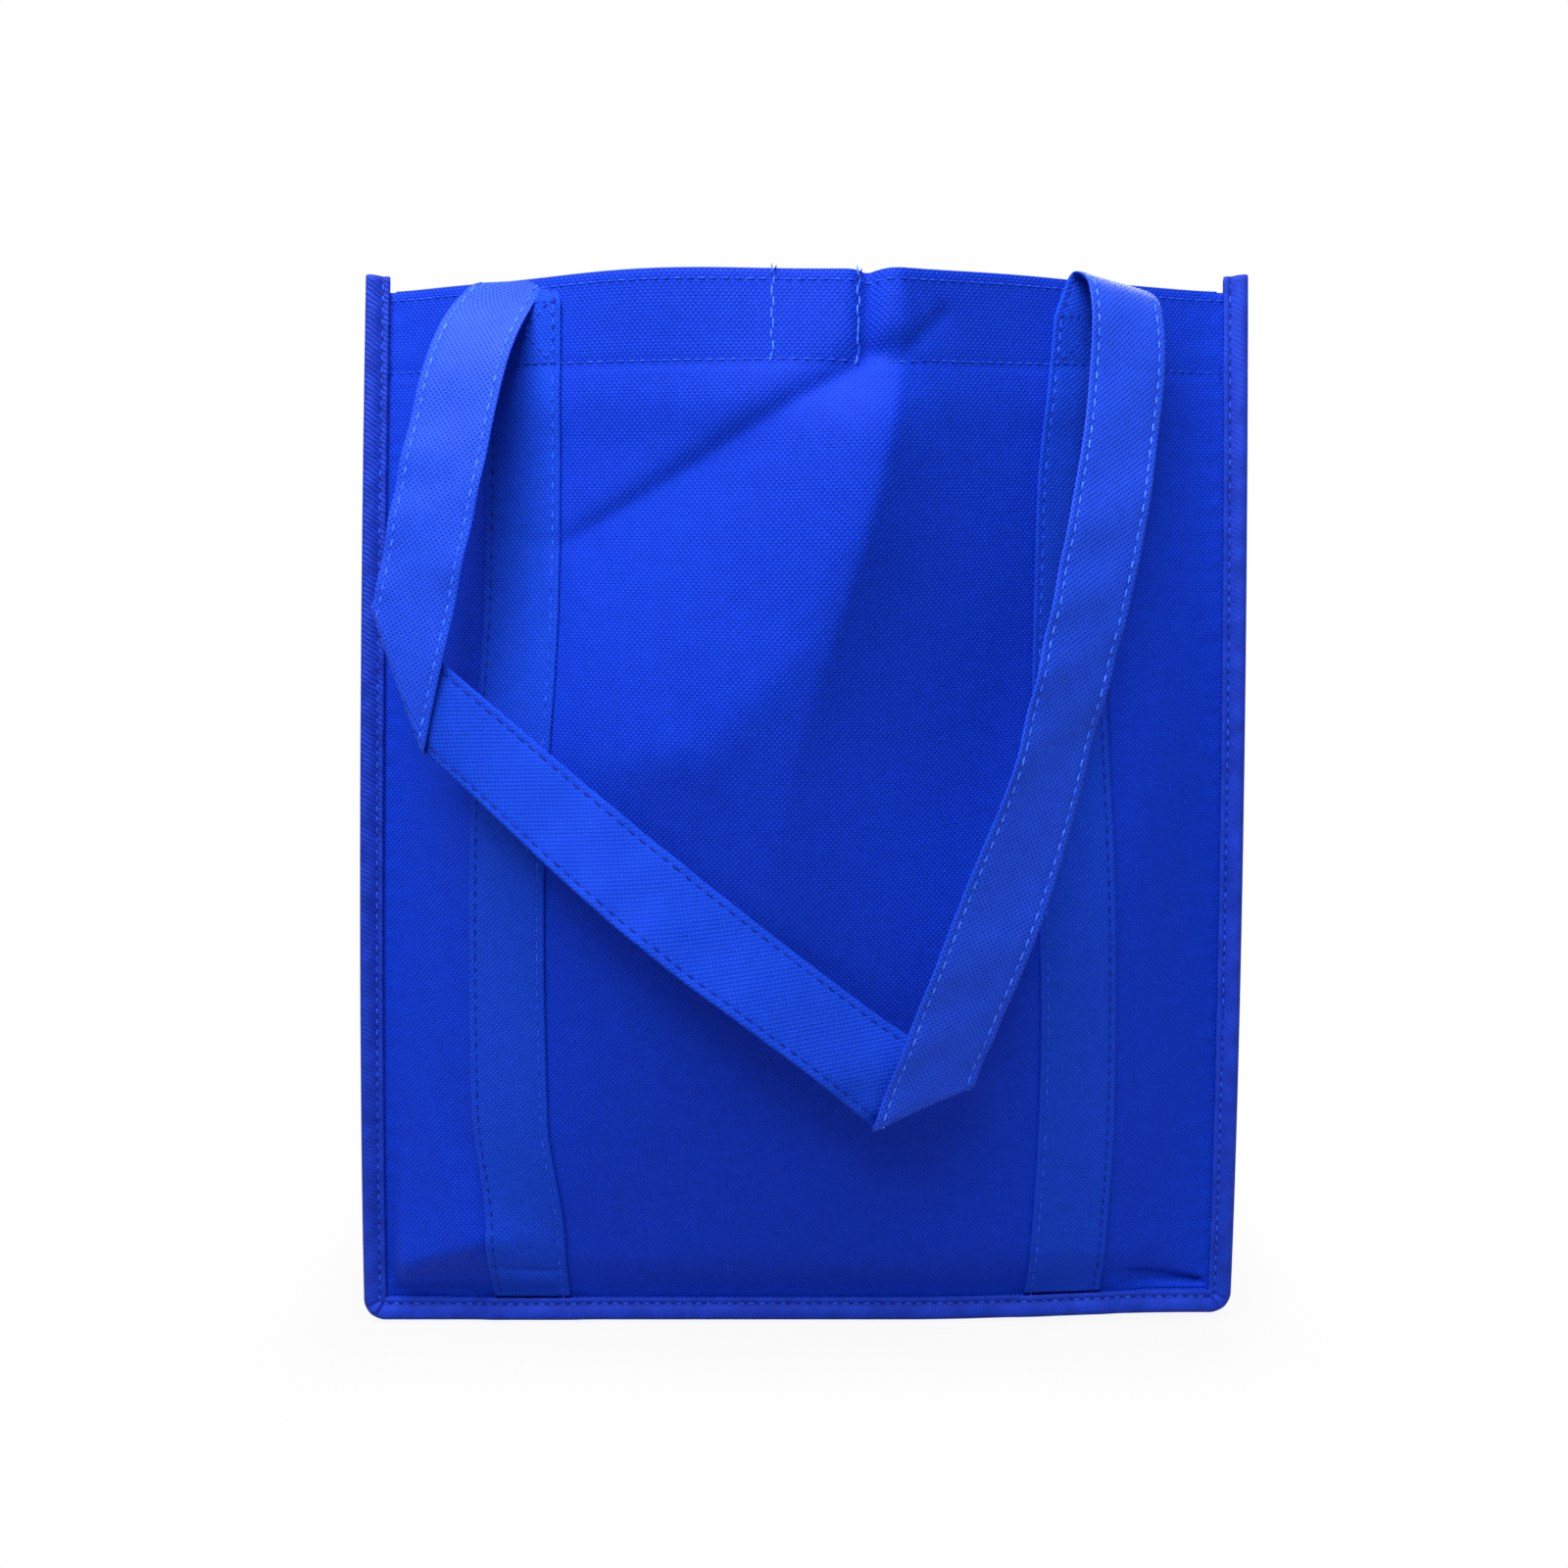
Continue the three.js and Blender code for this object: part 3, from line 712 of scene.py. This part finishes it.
# Rungs across the loop: x as a share of STRAP_CENTRE, how far below the mouth, how far off the
# panel, the direction from edge to edge in the front view, the length in strap widths, and how
# much further off the inner edge is than the outer one.
BEFORE_FIRST_FOLD = [
    (-0.938, 0.0042, 0.0042, 175, 1.0, -0.002),
    (-0.995, 0.0112, 0.0085, 170, 1.0, -0.003),
    (-1.05, 0.028, 0.020, 166, 1.0, -0.004),
    (-1.146, 0.074, 0.031, 160, 1.0, -0.006),
    (-1.234, 0.114, 0.0335, 143, 1.02, -0.0075),
    (-1.29, 0.136, 0.034, 108, 1.75, -0.008),
]
BETWEEN_FOLDS = [
    (-1.29, 0.136, 0.034 - 2 * FOLD_RADIUS, 108, 1.75, -0.008),
    (-0.49, 0.204, 0.019, 64, 1.04, 0.018),
    (0.12, 0.2545, 0.0205, 52, 1.02, 0.016),
    (0.413, 0.2785, 0.021, 22, 1.31, 0.005),
]
AFTER_SECOND_FOLD = [
    (0.413, 0.2785, 0.021 + 2 * FOLD_RADIUS, 22, 1.31, 0.005),
    (0.665, 0.204, 0.028, -23, 1.0),
    (0.775, 0.1687, 0.030, -4, 1.0, 0.006),
    (0.95, 0.095, 0.031, -7, 1.0),
    (1.045, 0.042, 0.0235, 0, 1.0),
    (1.057, 0.0150, 0.0185, -4, 1.0),
    (1.052, 0.0065, 0.0130, -7, 1.0),
    (1.024, 0.0030, 0.0055, -6, 1.0),
]


def rung(share, below, off, degrees, long, tilt=0.0):
    """The two ends of a line across the loop: the strap's outer edge and its inner edge."""
    angle = math.radians(degrees)
    offs = off + np.array([-tilt, tilt]) / 2

    def ends(half):
        reach = np.array([half, -half])
        x = share * STRAP_CENTRE + reach * math.cos(angle)
        z = HEIGHT - below + reach * math.sin(angle)
        return np.stack([x, -HALF_DEPTH - bulge_at(x, z) - offs, z], -1)

    width = STRAP_WIDTH * long
    return ends(width ** 2 / (2 * math.dist(*ends(width / 2))))


def smooth_path(points, step):
    """Places along a smooth curve through the points."""
    first = 2 * points[0] - points[1]
    last = 2 * points[-1] - points[-2]
    knots = np.concatenate([[first], points, [last]])
    path = []
    for p0, p1, p2, p3 in zip(knots, knots[1:], knots[2:], knots[3:]):
        d0, d1, d2 = (math.sqrt(math.dist(a, b)) for a, b in ((p0, p1), (p1, p2), (p2, p3)))
        leave = ((p1 - p0) / d0 - (p2 - p0) / (d0 + d1) + (p2 - p1) / d1) * d1
        reach = ((p2 - p1) / d1 - (p3 - p1) / (d1 + d2) + (p3 - p2) / d2) * d1
        t = np.linspace(0, 1, step, endpoint=False)[:, None]
        path.append(
            p1 + leave * t + (3 * (p2 - p1) - 2 * leave - reach) * t ** 2
            + (2 * (p1 - p2) + leave + reach) * t ** 3
        )
    return np.concatenate(path + [points[-1:]])


def stretch(rungs, step):
    rungs = np.stack(rungs)
    return np.stack([smooth_path(rungs[:, edge], step) for edge in (0, 1)], 1)


def fold_turn(start, end, side):
    """Half a turn of the strap about a fold line, from one layer to the other."""
    along = (start[0] - start[1]) * np.array([1.0, 0.0, 1.0])
    beyond = unit(np.array([-along[2], 0.0, along[0]])) * side * FOLD_REACH
    turns = np.radians(np.arange(18, 180, 18))[:, None, None]
    return start + (end - start) * (1 - np.cos(turns)) / 2 + beyond * np.sin(turns)


def strap_wander(side, height):
    """A hand-sewn strap strays a little from its straight line."""
    if side < 0:
        high = 0.0014 * smooth((height - 0.20) / 0.08)
        return high - 0.0042 * smooth((height - 0.04) / 0.05) * smooth((0.27 - height) / 0.15)
    return -0.0066 * smooth((height - 0.06) / 0.20) * smooth((0.385 - height) / 0.08)


def sewn_strap(side):
    """Edge pairs of a sewn strap, from its end in the base seam up to the hem."""
    crumpled = spread(SEAM_HEIGHT, SEAM_HEIGHT + CRUMPLE_REACH, STRAP_STEP / 3)[1:]
    heights = np.append(crumpled, spread(SEAM_HEIGHT + CRUMPLE_REACH, SEWN_TOP[side], STRAP_STEP)[1:])
    edges = side * (STRAP_CENTRE + np.array([STRAP_WIDTH, -STRAP_WIDTH]) / 2)
    across = edges[None, :] + strap_wander(side, heights)[:, None]
    up = panel_point(across, heights[:, None], STRAP_OFFSET)
    strayed = edges + strap_wander(side, SEAM_HEIGHT)
    at_base = (strayed, np.full(2, SEAM_HEIGHT), np.full(2, 1.5 * math.pi))
    into_seam = [seam_point(at_base, out, -STRAP_OFFSET) for out in (STRAP_END, STRAP_END / 2, 0.0)]
    return np.concatenate([np.stack(into_seam), up])


def strap_edges():
    left = sewn_strap(-1)
    right = sewn_strap(1)
    first = [left[-1]] + [rung(*r) for r in BEFORE_FIRST_FOLD]
    second = [rung(*r) for r in BETWEEN_FOLDS]
    third = [rung(*r) for r in AFTER_SECOND_FOLD] + [right[-1]]
    parts = [
        left[:-1],
        stretch(first, 12),
        fold_turn(first[-1], second[0], 1),
        stretch(second, 32),
        fold_turn(second[-1], third[0], -1),
        stretch(third, 18),
        right[:-1][::-1],
    ]
    marks = np.cumsum([len(part) for part in parts])
    return np.concatenate(parts), marks


STRAP_EDGES, STRAP_MARKS = strap_edges()
STRAP_MIDDLE = STRAP_EDGES.mean(1)
STRAP_ACROSS = STRAP_EDGES[:, 1] - STRAP_EDGES[:, 0]
STRAP_WAY = np.gradient(STRAP_MIDDLE, axis=0)
STRAP_FACING = unit(np.cross(STRAP_ACROSS, STRAP_WAY))
STRAP_RUN = path_lengths(STRAP_MIDDLE)
STRAP_LEAD = np.sum(STRAP_ACROSS * unit(STRAP_WAY), -1)  # slant of each rung
LOOP_START, LOOP_END = STRAP_MARKS[0], STRAP_MARKS[5]


def strap_half(from_edge):
    """Half the strap's thickness: rounded edges, and a groove along each row of stitches."""
    rounded = np.sqrt(np.clip(1 - np.clip(1 - from_edge / 0.0008, 0, 1) ** 2, 0, 1))
    groove = 0.38 * hump(from_edge - EDGE_SEAM, 0.0007)
    return STRAP_THICKNESS / 2 * rounded * (1.05 - groove)


def strap_ripple(x):
    """Soft handling marks on the free part of the strap, and a crumple low on the left one."""
    free = smooth((STRAP_RUN - STRAP_RUN[LOOP_START]) / 0.05)
    free = free * smooth((STRAP_RUN[LOOP_END - 1] - STRAP_RUN) / 0.05)
    slant = STRAP_RUN + 0.35 * x
    marks = np.sin(slant * 190 + 2.2 * np.sin(slant * 41)) * np.cos(x * 95 + STRAP_RUN * 23)
    above = STRAP_RUN - STRAP_END - CRUMPLE - CRUMPLE_SLANT * x
    crumple = 0.0010 * hump(above + 0.0055, 0.0042) - 0.0008 * hump(above, 0.0011)
    return 0.0005 * free * marks + crumple * math.cos(math.pi * x / STRAP_WIDTH)


def on_strap(x, face, above=0.0):
    """Places on a face of the whole strap, x from its middle line. face is 1 outside, -1 behind."""
    half = strap_half(STRAP_WIDTH / 2 - np.abs(x)) + above
    share = x / STRAP_WIDTH + 0.5
    out = face * half + strap_ripple(x)
    return STRAP_EDGES[:, 0] + share * STRAP_ACROSS + out[:, None] * STRAP_FACING


strap_face = spunbond("strap face", STRAP_DARK, STRAP_LIGHT, True, dot_height=0.00022, gloss=0.035)
strap_back = spunbond("strap back", PIT_DARK, STRAP_LIGHT, False, gloss=0.10)

rounded_edge = [0.0, 0.0002, 0.0008, 0.0014]
beside_seam = [0.0019, 0.0023, EDGE_SEAM, 0.0029, 0.0033, 0.004, 0.0056]
half_lines = STRAP_WIDTH / 2 - np.array(rounded_edge + beside_seam)
strap_lines = np.concatenate([-half_lines, np.linspace(-0.006, 0.006, 5), half_lines[::-1]])


def build_strap(side, place):
    outside = np.stack([on_strap(x, 1) for x in strap_lines], 1)
    behind = np.stack([on_strap(x, -1) for x in strap_lines[::-1]], 1)
    across, run = np.meshgrid(strap_lines, STRAP_RUN)
    flat = np.stack([across, run + across / STRAP_WIDTH * STRAP_LEAD[:, None]], -1)
    ends = [np.stack([behind[0][::-1], outside[0]]), np.stack([outside[-1], behind[-1][::-1]])]
    grids = [(place(outside), flat, 0), (place(behind), flat[:, ::-1], 1)]
    grids += [(place(end), flat[:2], 0) for end in ends]
    mesh = cloth_mesh(side + "_handle_strap", grids)
    return make_piece(
        side + "_handle_strap", mesh, [strap_face, strap_back], side + "_handle",
    )


def strap_seams(place, face, edge, start, end):
    x = edge * (STRAP_WIDTH / 2 - EDGE_SEAM)
    return place(on_strap(x, face, SUNK_STAND)[start:end]), place(face * STRAP_FACING[start:end])


def box_and_cross(side, place):
    """Stitches that hold a strap at the hem: a box with a cross in it."""
    low, high = HEM_FOOT + HEM_ROW_ABOVE, HEIGHT - BOX_BELOW
    reach = STRAP_WIDTH / 2 - EDGE_SEAM
    corners = [(-reach, low), (reach, low), (reach, high), (-reach, low), (-reach, high), (reach, low)]
    corners += [(reach, high), (-reach, high)]
    way = spread(0, 1, 0.06)
    top = STRAP_OFFSET + STRAP_THICKNESS / 2 + BOX_STAND
    lines = []
    for (x0, h0), (x1, h1) in zip(corners, corners[1:]):
        heights = np.minimum(h0 + (h1 - h0) * way, SEWN_TOP[side])
        across = side * STRAP_CENTRE + strap_wander(side, heights) + x0 + (x1 - x0) * way
        lines.append((place(panel_point(across, heights, top)), place(panel_normal(across, heights))))
    return lines


for side, place in SIDES.items():
    handle = build_strap(side, place)
    whole = (0, len(STRAP_RUN))
    loop = (LOOP_START, LOOP_END)
    outer_rows = [strap_seams(place, 1, -1, *whole), strap_seams(place, 1, 1, *loop)]
    sewn_parts = [(0, LOOP_START), (LOOP_END, len(STRAP_RUN))]
    inner_rows = [strap_seams(place, 1, 1, *part) for part in sewn_parts]
    back_rows = [strap_seams(place, -1, edge, *loop) for edge in (-1, 1)]
    boxes = box_and_cross(-1, place) + box_and_cross(1, place)
    shown = sew(
        side + "_strap_back_stitches", back_rows, light_thread, STRAP_PITCH, 0.0036, seed=10,
    )
    # The rows on the outer face are sewn in the dark thread as painted shade: its darkness stands for
    # the shadow in the groove that the thread sinks into.
    sunk = sew(
        side + "_strap_sunk_stitches", outer_rows, dark_thread, STRAP_PITCH, 0.0035, 0.0003,
        seed=7,
    )
    proud = sew(
        side + "_strap_stitches", inner_rows, pale_thread, STRAP_PITCH, 0.0036, seed=8,
    )
    crossed = sew(
        side + "_strap_box_stitches", boxes, plain_blue_thread, 0.0033, 0.0026, seed=9,
    )


# Gusset
# One long strip of the same cloth makes the left side, the base and the right side. It folds inwards
# down the middle of each side, where the flat pack was folded, and both its ends are hemmed.

GUSSET_PINCH = 0.014  # the middle of each side folds inwards by this at the mouth
BASE_RISE_RUN = 0.016  # the base turns up to the seam over this distance
GUSSET_COLUMNS = 45  # points from the front seam to the back seam
PACK_TOP = (0.0, 0.131)  # the slanting folds of the flat pack meet here
PACK_CREASES = [[(-HALF_DEPTH, 0.004), PACK_TOP], [PACK_TOP, (HALF_DEPTH, 0.004)]]


def gusset_strip(path, columns):
    across, height, angle = path
    other = (across[::-1], height[::-1], angle[::-1])
    front = seam_point(path, 0.0, LAYER)[:, None]
    back = turned(seam_point(other, 0.0, LAYER))[:, None]
    share = columns[None, :]
    wall = front + (back - front) * share[..., None]
    span = 2 * (HALF_DEPTH - LAYER)
    from_seam = span * np.minimum(share, 1 - share)
    z = wall[..., 2]
    settle = smooth((from_seam - 2 * LAYER) / (BASE_RISE_RUN - 2 * LAYER))
    low = smooth(1 - (z - SEAM_HEIGHT) / (4 * SEAM_HEIGHT))
    folded = 1 - np.sqrt((2 * share - 1) ** 2 + 0.0004)
    pinch = GUSSET_PINCH * np.clip(folded * 1.02, 0, 1) * np.clip(z / HEIGHT, 0, 1.1) ** 2
    on_side = np.abs(np.cos(angle))[:, None]
    depth = wall[..., 1] + 0 * z
    out = sum(crease(depth, z, line, -0.0016, 0.007, 0.005) for line in PACK_CREASES)
    out = out + 0.0009 * np.sin(depth * 38 + 0.8) * np.sin(z * 33 + 1.9) * smooth(from_seam / 0.03)
    side = np.sign(across)[:, None]
    wall[..., 0] += side * on_side * (out * smooth((z - SEAM_HEIGHT) / 0.04) - pinch)
    wall[..., 2] -= (SEAM_HEIGHT - LAYER * math.sin(SEAM_FLARE) - FABRIC / 2) * settle * low
    return wall


def build_gusset():
    path = seam_path(HEIGHT)
    columns = np.linspace(0, 1, GUSSET_COLUMNS)
    wall = gusset_strip(path, columns)
    lengths = path_lengths(seam_point(path, 0.0, 0.0))
    span = 2 * HALF_DEPTH
    flat = flat_grid(columns * span, lengths)
    grids = [(wall, flat, 0)]
    other = tuple(values[::-1] for values in path)
    outs = (ALLOWANCE, ALLOWANCE / 2)
    front_edge = [seam_point(path, out, LAYER) for out in outs] + [wall[:, 0]]
    back_edge = [wall[:, -1]] + [turned(seam_point(other, out, LAYER)) for out in outs[::-1]]
    grids.append((np.stack(front_edge, 1), flat[:, :3], 0))
    grids.append((np.stack(back_edge, 1), flat[:, -3:], 0))
    hem_count = math.ceil(HEM / CLOTH_STEP)
    for end, inward in ((slice(0, hem_count + 1), 1), (slice(-1, -hem_count - 2, -1), -1)):
        leaf = wall[end, 2:-2]
        rows = [leaf[0] + [inward * inwards, 0, up] for inwards, up in HEM_FOLD]
        rows += list(leaf[1:] + [inward * LAYER, 0, 0])
        leaf_flat = flat_grid(columns[2:-2] * span, np.arange(len(rows)) * CLOTH_STEP)
        order = slice(None, None, -inward)
        grids.append((np.stack(rows)[order], leaf_flat[order], 0))
    mesh = cloth_mesh("gusset_cloth", grids)
    piece = make_piece("gusset_cloth", mesh, [cloth_face, cloth_back], "gusset")
    thicken(piece)
    return piece, wall


def gusset_hem_rows(wall):
    lines = []
    for side, rows in ((-1, wall), (1, wall[::-1])):
        for below in (HEM_ROW_BELOW, HEM - HEM_ROW_ABOVE):
            line = rows[round(below / CLOTH_STEP)][2:-2]
            out = np.array([side, 0.0, 0.0])
            lines.append((line + out * (FABRIC / 2 + THREAD_STAND), out))
            lines.append((line - out * (LAYER + FABRIC / 2 + THREAD_STAND), -out))
    return lines


gusset, gusset_wall = build_gusset()
gusset_lines = gusset_hem_rows(gusset_wall)
gusset_hems = sew("gusset_hem_stitches", gusset_lines, plain_blue_thread, seed=11)


# Bindings
# A tape of stretched spunbond cloth is folded over the raw edges of each panel and the gusset, and
# one row of stitches holds it. It bunches into pleats at the two base corners.

TAPE_TAIL = 0.005  # the ends stand above the hem
TAPE_START = 0.0006  # leaves stop short of the seam line
TAPE_EDGE = 0.0084  # seam line to the folded edge
TAPE_JOINT = 0.084  # one length of tape laps over the next here, on the base
TAPE_SEAM = 0.0029  # seam line to the stitches
STRAP_LIFT = STRAP_THICKNESS + SEWN_GAP
STRAP_STEP_RUN = 0.008  # the tape climbs onto a strap over this distance
CORNER_PLEATS = 4
RIB_PITCH = 0.00154  # between the slanting ribs of the stretched cloth
BEAD_PITCH = 0.0034  # the ribs thin out after this along their length
TAPE_DARK = (0.0022, 0.0155, 0.230)
TAPE_LIGHT = (0.0140, 0.0540, 0.580)


def tape_puff(path, run, out):
    """How far a leaf of the tape stands off the layers under it."""
    across, _, angle = path
    on_base = np.abs(np.cos(angle)) < 0.001
    lip = 0.00036 * hump(out - 0.0014, 0.0007)
    groove = -0.00028 * hump(out - TAPE_SEAM, 0.0006)
    roll = 0.00055 * smooth((out - 0.0033) / 0.0022)
    uneven = 1 + 0.22 * np.sin(run * 470 + 1.6 * np.sin(run * 77))
    pleat = np.abs(np.sin(2 * angle)) * np.cos(2 * CORNER_PLEATS * angle)
    past = across - TAPE_JOINT - 0.4 * out
    lap = 0.0006 * smooth(past / 0.0019) * smooth((0.016 - past) / 0.010) * on_base
    return lip + groove + roll * uneven + lap + 0.0007 * pleat * smooth(out / 0.005)


def strap_lift(path):
    """The tape climbs over the two strap ends in the base seam."""
    across, _, angle = path
    on_base = np.abs(np.sin(angle)) > 0.999
    beside = np.abs(np.abs(across) - STRAP_CENTRE) - STRAP_WIDTH / 2
    return STRAP_LIFT * on_base * smooth(1 - beside / STRAP_STEP_RUN)


def tape_leaf(path, run, out, face):
    """Places on the front leaf, face 1, or the back leaf, face -1."""
    puff = tape_puff(path, run, out)
    stand = LAYER + strap_lift(path) + puff if face > 0 else -2 * LAYER - puff
    return seam_point(path, out, -stand)


def tape_surface(path, run):
    """Both leaves of the tape and the fold that joins them."""
    beside_seam = np.linspace(TAPE_START, 0.0042, 9)
    outs = np.append(beside_seam, np.linspace(0.0048, TAPE_EDGE - 0.0018, 4))
    front = [tape_leaf(path, run, out, 1) for out in outs]
    back = [tape_leaf(path, run, out, -1) for out in outs[::-1]]
    stand_front = LAYER + strap_lift(path) + tape_puff(path, run, outs[-1])
    stand_back = 2 * LAYER + tape_puff(path, run, outs[-1])
    radius = (stand_front + stand_back) / 2
    fold = []
    for degrees in (25, 50, 75, 105, 130, 155):
        turn = math.radians(degrees)
        reach = (TAPE_EDGE - outs[-1]) * math.sin(turn)
        fold.append(seam_point(path, outs[-1] + reach, -stand_front + radius * (1 - math.cos(turn))))
    return np.stack(front + fold + back, 1)


def binding_tape(width):
    """Stretched tape: slanting ribs where the embossed dots have been pulled out, with painted shade in
    the groove along each row of stitches.
    """
    material, shader, start = new_material("binding tape")
    flat = start.node("UVMap", {"uv_map": "Flat"})
    across = flat.axis("X")
    along = flat.axis("Y")
    wander = flat.noise(300.0, 2.0) - 0.5
    slant = across * 0.55 + along * 0.83 + wander * 0.0012
    beads = (across * 0.83 - along * 0.55 + wander * 0.0016) * (math.tau / BEAD_PITCH)
    ribs = (slant * (math.tau / RIB_PITCH)).cosine() * (0.75 + beads.cosine() * 0.25)
    fibres = flat.noise(2400.0, 2.0)
    patches = flat.noise(120.0, 3.0)
    stretched = 1 - along.ramp(0.10, 0.42) * 0.72
    depth = (0.35 + patches.ramp(0.25, 0.65) * 0.65) * stretched
    ridge = (ribs * 0.5 + 0.5) * depth + (1 - stretched) * 0.5
    front_row = abs(across - (TAPE_SEAM - TAPE_START))
    back_row = abs(across - (width - TAPE_SEAM + TAPE_START))
    # pinch marks the groove along each row of stitches, and the tone below takes it off the colour as
    # painted shade in that groove.
    pinch = 1 - across.math("MINIMUM", front_row, back_row).ramp(0.0002, 0.0009)
    tone = ridge * 0.55 + patches.ramp(0.3, 0.7) * 0.25 + fibres.ramp(0.3, 0.7) * 0.2 - pinch * 0.5
    set_shader(
        shader, Base_Color=tone.mix(TAPE_DARK, TAPE_LIGHT),
        Roughness=0.60 + 0.12 * fibres - 0.1 * ridge, Normal=(ridge + fibres * 0.3).bump(0.00026),
        Specular_IOR_Level=0.10, **CLOTH_SHEEN,
    )
    return material


tape_path = seam_path(HEIGHT + TAPE_TAIL)
tape_run = path_lengths(seam_point(tape_path, TAPE_EDGE / 2, 0.0))
tape_grid = tape_surface(tape_path, tape_run)
tape_width = path_lengths(tape_grid[10])
tape = binding_tape(float(tape_width[-1]))
tape_flat = flat_grid(tape_width, tape_run)


def tape_rows(place):
    """The row of stitches through both leaves, as it shows on each."""
    rows = []
    for face in (1, -1):
        line = tape_leaf(tape_path, tape_run, TAPE_SEAM, face)
        beside = tape_leaf(tape_path, tape_run, TAPE_SEAM + 0.001, face)
        facing = unit(np.cross(beside - line, np.gradient(line, axis=0))) * face
        shown = slice(2, -2)
        sunk = line + facing * (FABRIC / 2 + SUNK_STAND)
        rows.append((place(sunk)[shown], place(facing)[shown]))
    return rows


for side, place in SIDES.items():
    mesh = cloth_mesh(side + "_binding_tape", [(place(tape_grid[:, ::-1]), tape_flat[:, ::-1], 0)])
    binding = make_piece(side + "_binding_tape", mesh, [tape, tape], side + "_binding")
    thicken(binding)
    seam = sew(
        side + "_binding_stitches", tape_rows(place), pale_thread, 0.0040, 0.0030, 0.0003,
        seed=13,
    )


# Base board
# A loose sheet of black plastic lies on the base inside the bag and keeps it flat. It is cut with
# rounded corners, and its face has a fine pebbled grain.

BOARD_DARK = (0.012, 0.013, 0.016)
BOARD_LIGHT = (0.034, 0.035, 0.040)


def pebbled_board():
    material, shader, start = new_material("pebbled board")
    place = start.node("TexCoord", None, None, "Object")
    pebbles = place.node("TexVoronoi", None, {"Vector": place, "Scale": 900.0})
    scuffs = place.noise(35.0, 6.0)
    set_shader(
        shader, Base_Color=scuffs.ramp(0.35, 0.8).mix(BOARD_DARK, BOARD_LIGHT),
        Roughness=0.42 + 0.25 * scuffs, Normal=pebbles.bump(0.00015, 0.5),
    )
    return material


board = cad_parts["base_board"]
board.data.materials.clear()
board.data.materials.append(pebbled_board())


# Stage
# A plain pale floor that keeps the bag's shadow, soft studio light from the upper left, and the
# camera at the place that the photograph was taken from.

CAMERA_PLACE = (-0.005, -0.522, 0.2436)
CAMERA_PITCH = math.radians(-5.3)
CAMERA_LENS = 24.75
FLOOR_HALF = 6.0
SHADOW_SHARE = 0.085  # how much of the floor's own shading the camera sees beside the bag
SHADOW_REACH = 0.07  # the floor is plain white beyond this
SHADOW_HALF_WIDTH, SHADOW_HALF_DEPTH = 0.16, 0.13  # the shadow is full under the bag
AMBIENT = 0.07

floor_mesh = bpy.data.meshes.new("floor")
corners = [(-1, -1), (1, -1), (1, 1), (-1, 1)]
floor_mesh.from_pydata([(x * FLOOR_HALF, y * FLOOR_HALF, 0) for x, y in corners], [], [(0, 1, 2, 3)])
floor = bpy.data.objects.new("floor", floor_mesh)
bpy.context.collection.objects.link(floor)
floor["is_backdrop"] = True


def white_to_camera(start):
    """1 for the rays that show the background: to the camera, and through gloss and glass."""
    names = ("Is Camera Ray", "Is Glossy Ray", "Is Transmission Ray")
    to_camera, by_gloss, through = (start.node("LightPath", None, None, name) for name in names)
    return to_camera.at_least(by_gloss.at_least(through))


floor_material, floor_shader, start = new_material("pale floor")
set_shader(floor_shader, Base_Color=(0.42, 0.42, 0.42, 1.0), Roughness=0.9, Specular_IOR_Level=0.1)
glow = start.node("Emission", None, {"Color": (1.0, 1.0, 1.0, 1.0), "Strength": 1.0})
ground = start.node("TexCoord", None, None, "Object")
beside = (abs(ground.axis("X")) - SHADOW_HALF_WIDTH).at_least(0.0)
ahead = (abs(ground.axis("Y")) - SHADOW_HALF_DEPTH).at_least(0.0)
apart = beside.math("SQRT", beside * beside + ahead * ahead)
share = white_to_camera(start) * (1 - SHADOW_SHARE * (1 - apart.ramp(0.0, SHADOW_REACH)))
shaded = Value(start.tree, floor_shader.outputs[0])
blend = start.node("MixShader", None, {0: share, 1: shaded, 2: glow})
start.tree.links.new(blend.socket, start.tree.nodes["Material Output"].inputs["Surface"])
floor_mesh.materials.append(floor_material)

world = bpy.data.worlds.new("studio")
bpy.context.scene.world = world
world.use_nodes = True
air = Value(world.node_tree)
background = world.node_tree.nodes["Background"]
strength = AMBIENT + white_to_camera(air) * (1 - AMBIENT)
air.tree.links.new(strength.socket, background.inputs["Strength"])
background.inputs["Color"].default_value = (1.0, 1.0, 1.0, 1.0)


def soft_light(name, place, target, size, power):
    lamp = bpy.data.lights.new(name, "AREA")
    lamp.size = size
    lamp.energy = power
    light = bpy.data.objects.new(name, lamp)
    light.location = place
    away = np.array(place) - np.array(target)
    flat = math.hypot(away[0], away[1])
    light.rotation_euler = (math.atan2(flat, away[2]), 0, math.atan2(away[0], -away[1]))
    bpy.context.collection.objects.link(light)


soft_light("key", (-0.16, -0.50, 0.88), (0, -0.15, 0.32), 0.7, 15.6)
soft_light("fill", (0.7, -0.9, 0.8), (0, -0.1, 0.35), 0.8, 1.2)
soft_light("rear", (0.45, 0.95, 0.95), (0, 0.1, 0.2), 1.0, 17)

camera_data = bpy.data.cameras.new("camera")
camera_data.lens = CAMERA_LENS
camera = bpy.data.objects.new("camera", camera_data)
camera.location = CAMERA_PLACE
camera.rotation_euler = (math.pi / 2 + CAMERA_PITCH, 0, 0)
bpy.context.collection.objects.link(camera)
bpy.context.scene.camera = camera
bpy.context.scene.view_settings.view_transform = "Standard"

boxes = {"cad": cad_box, "visual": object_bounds()}
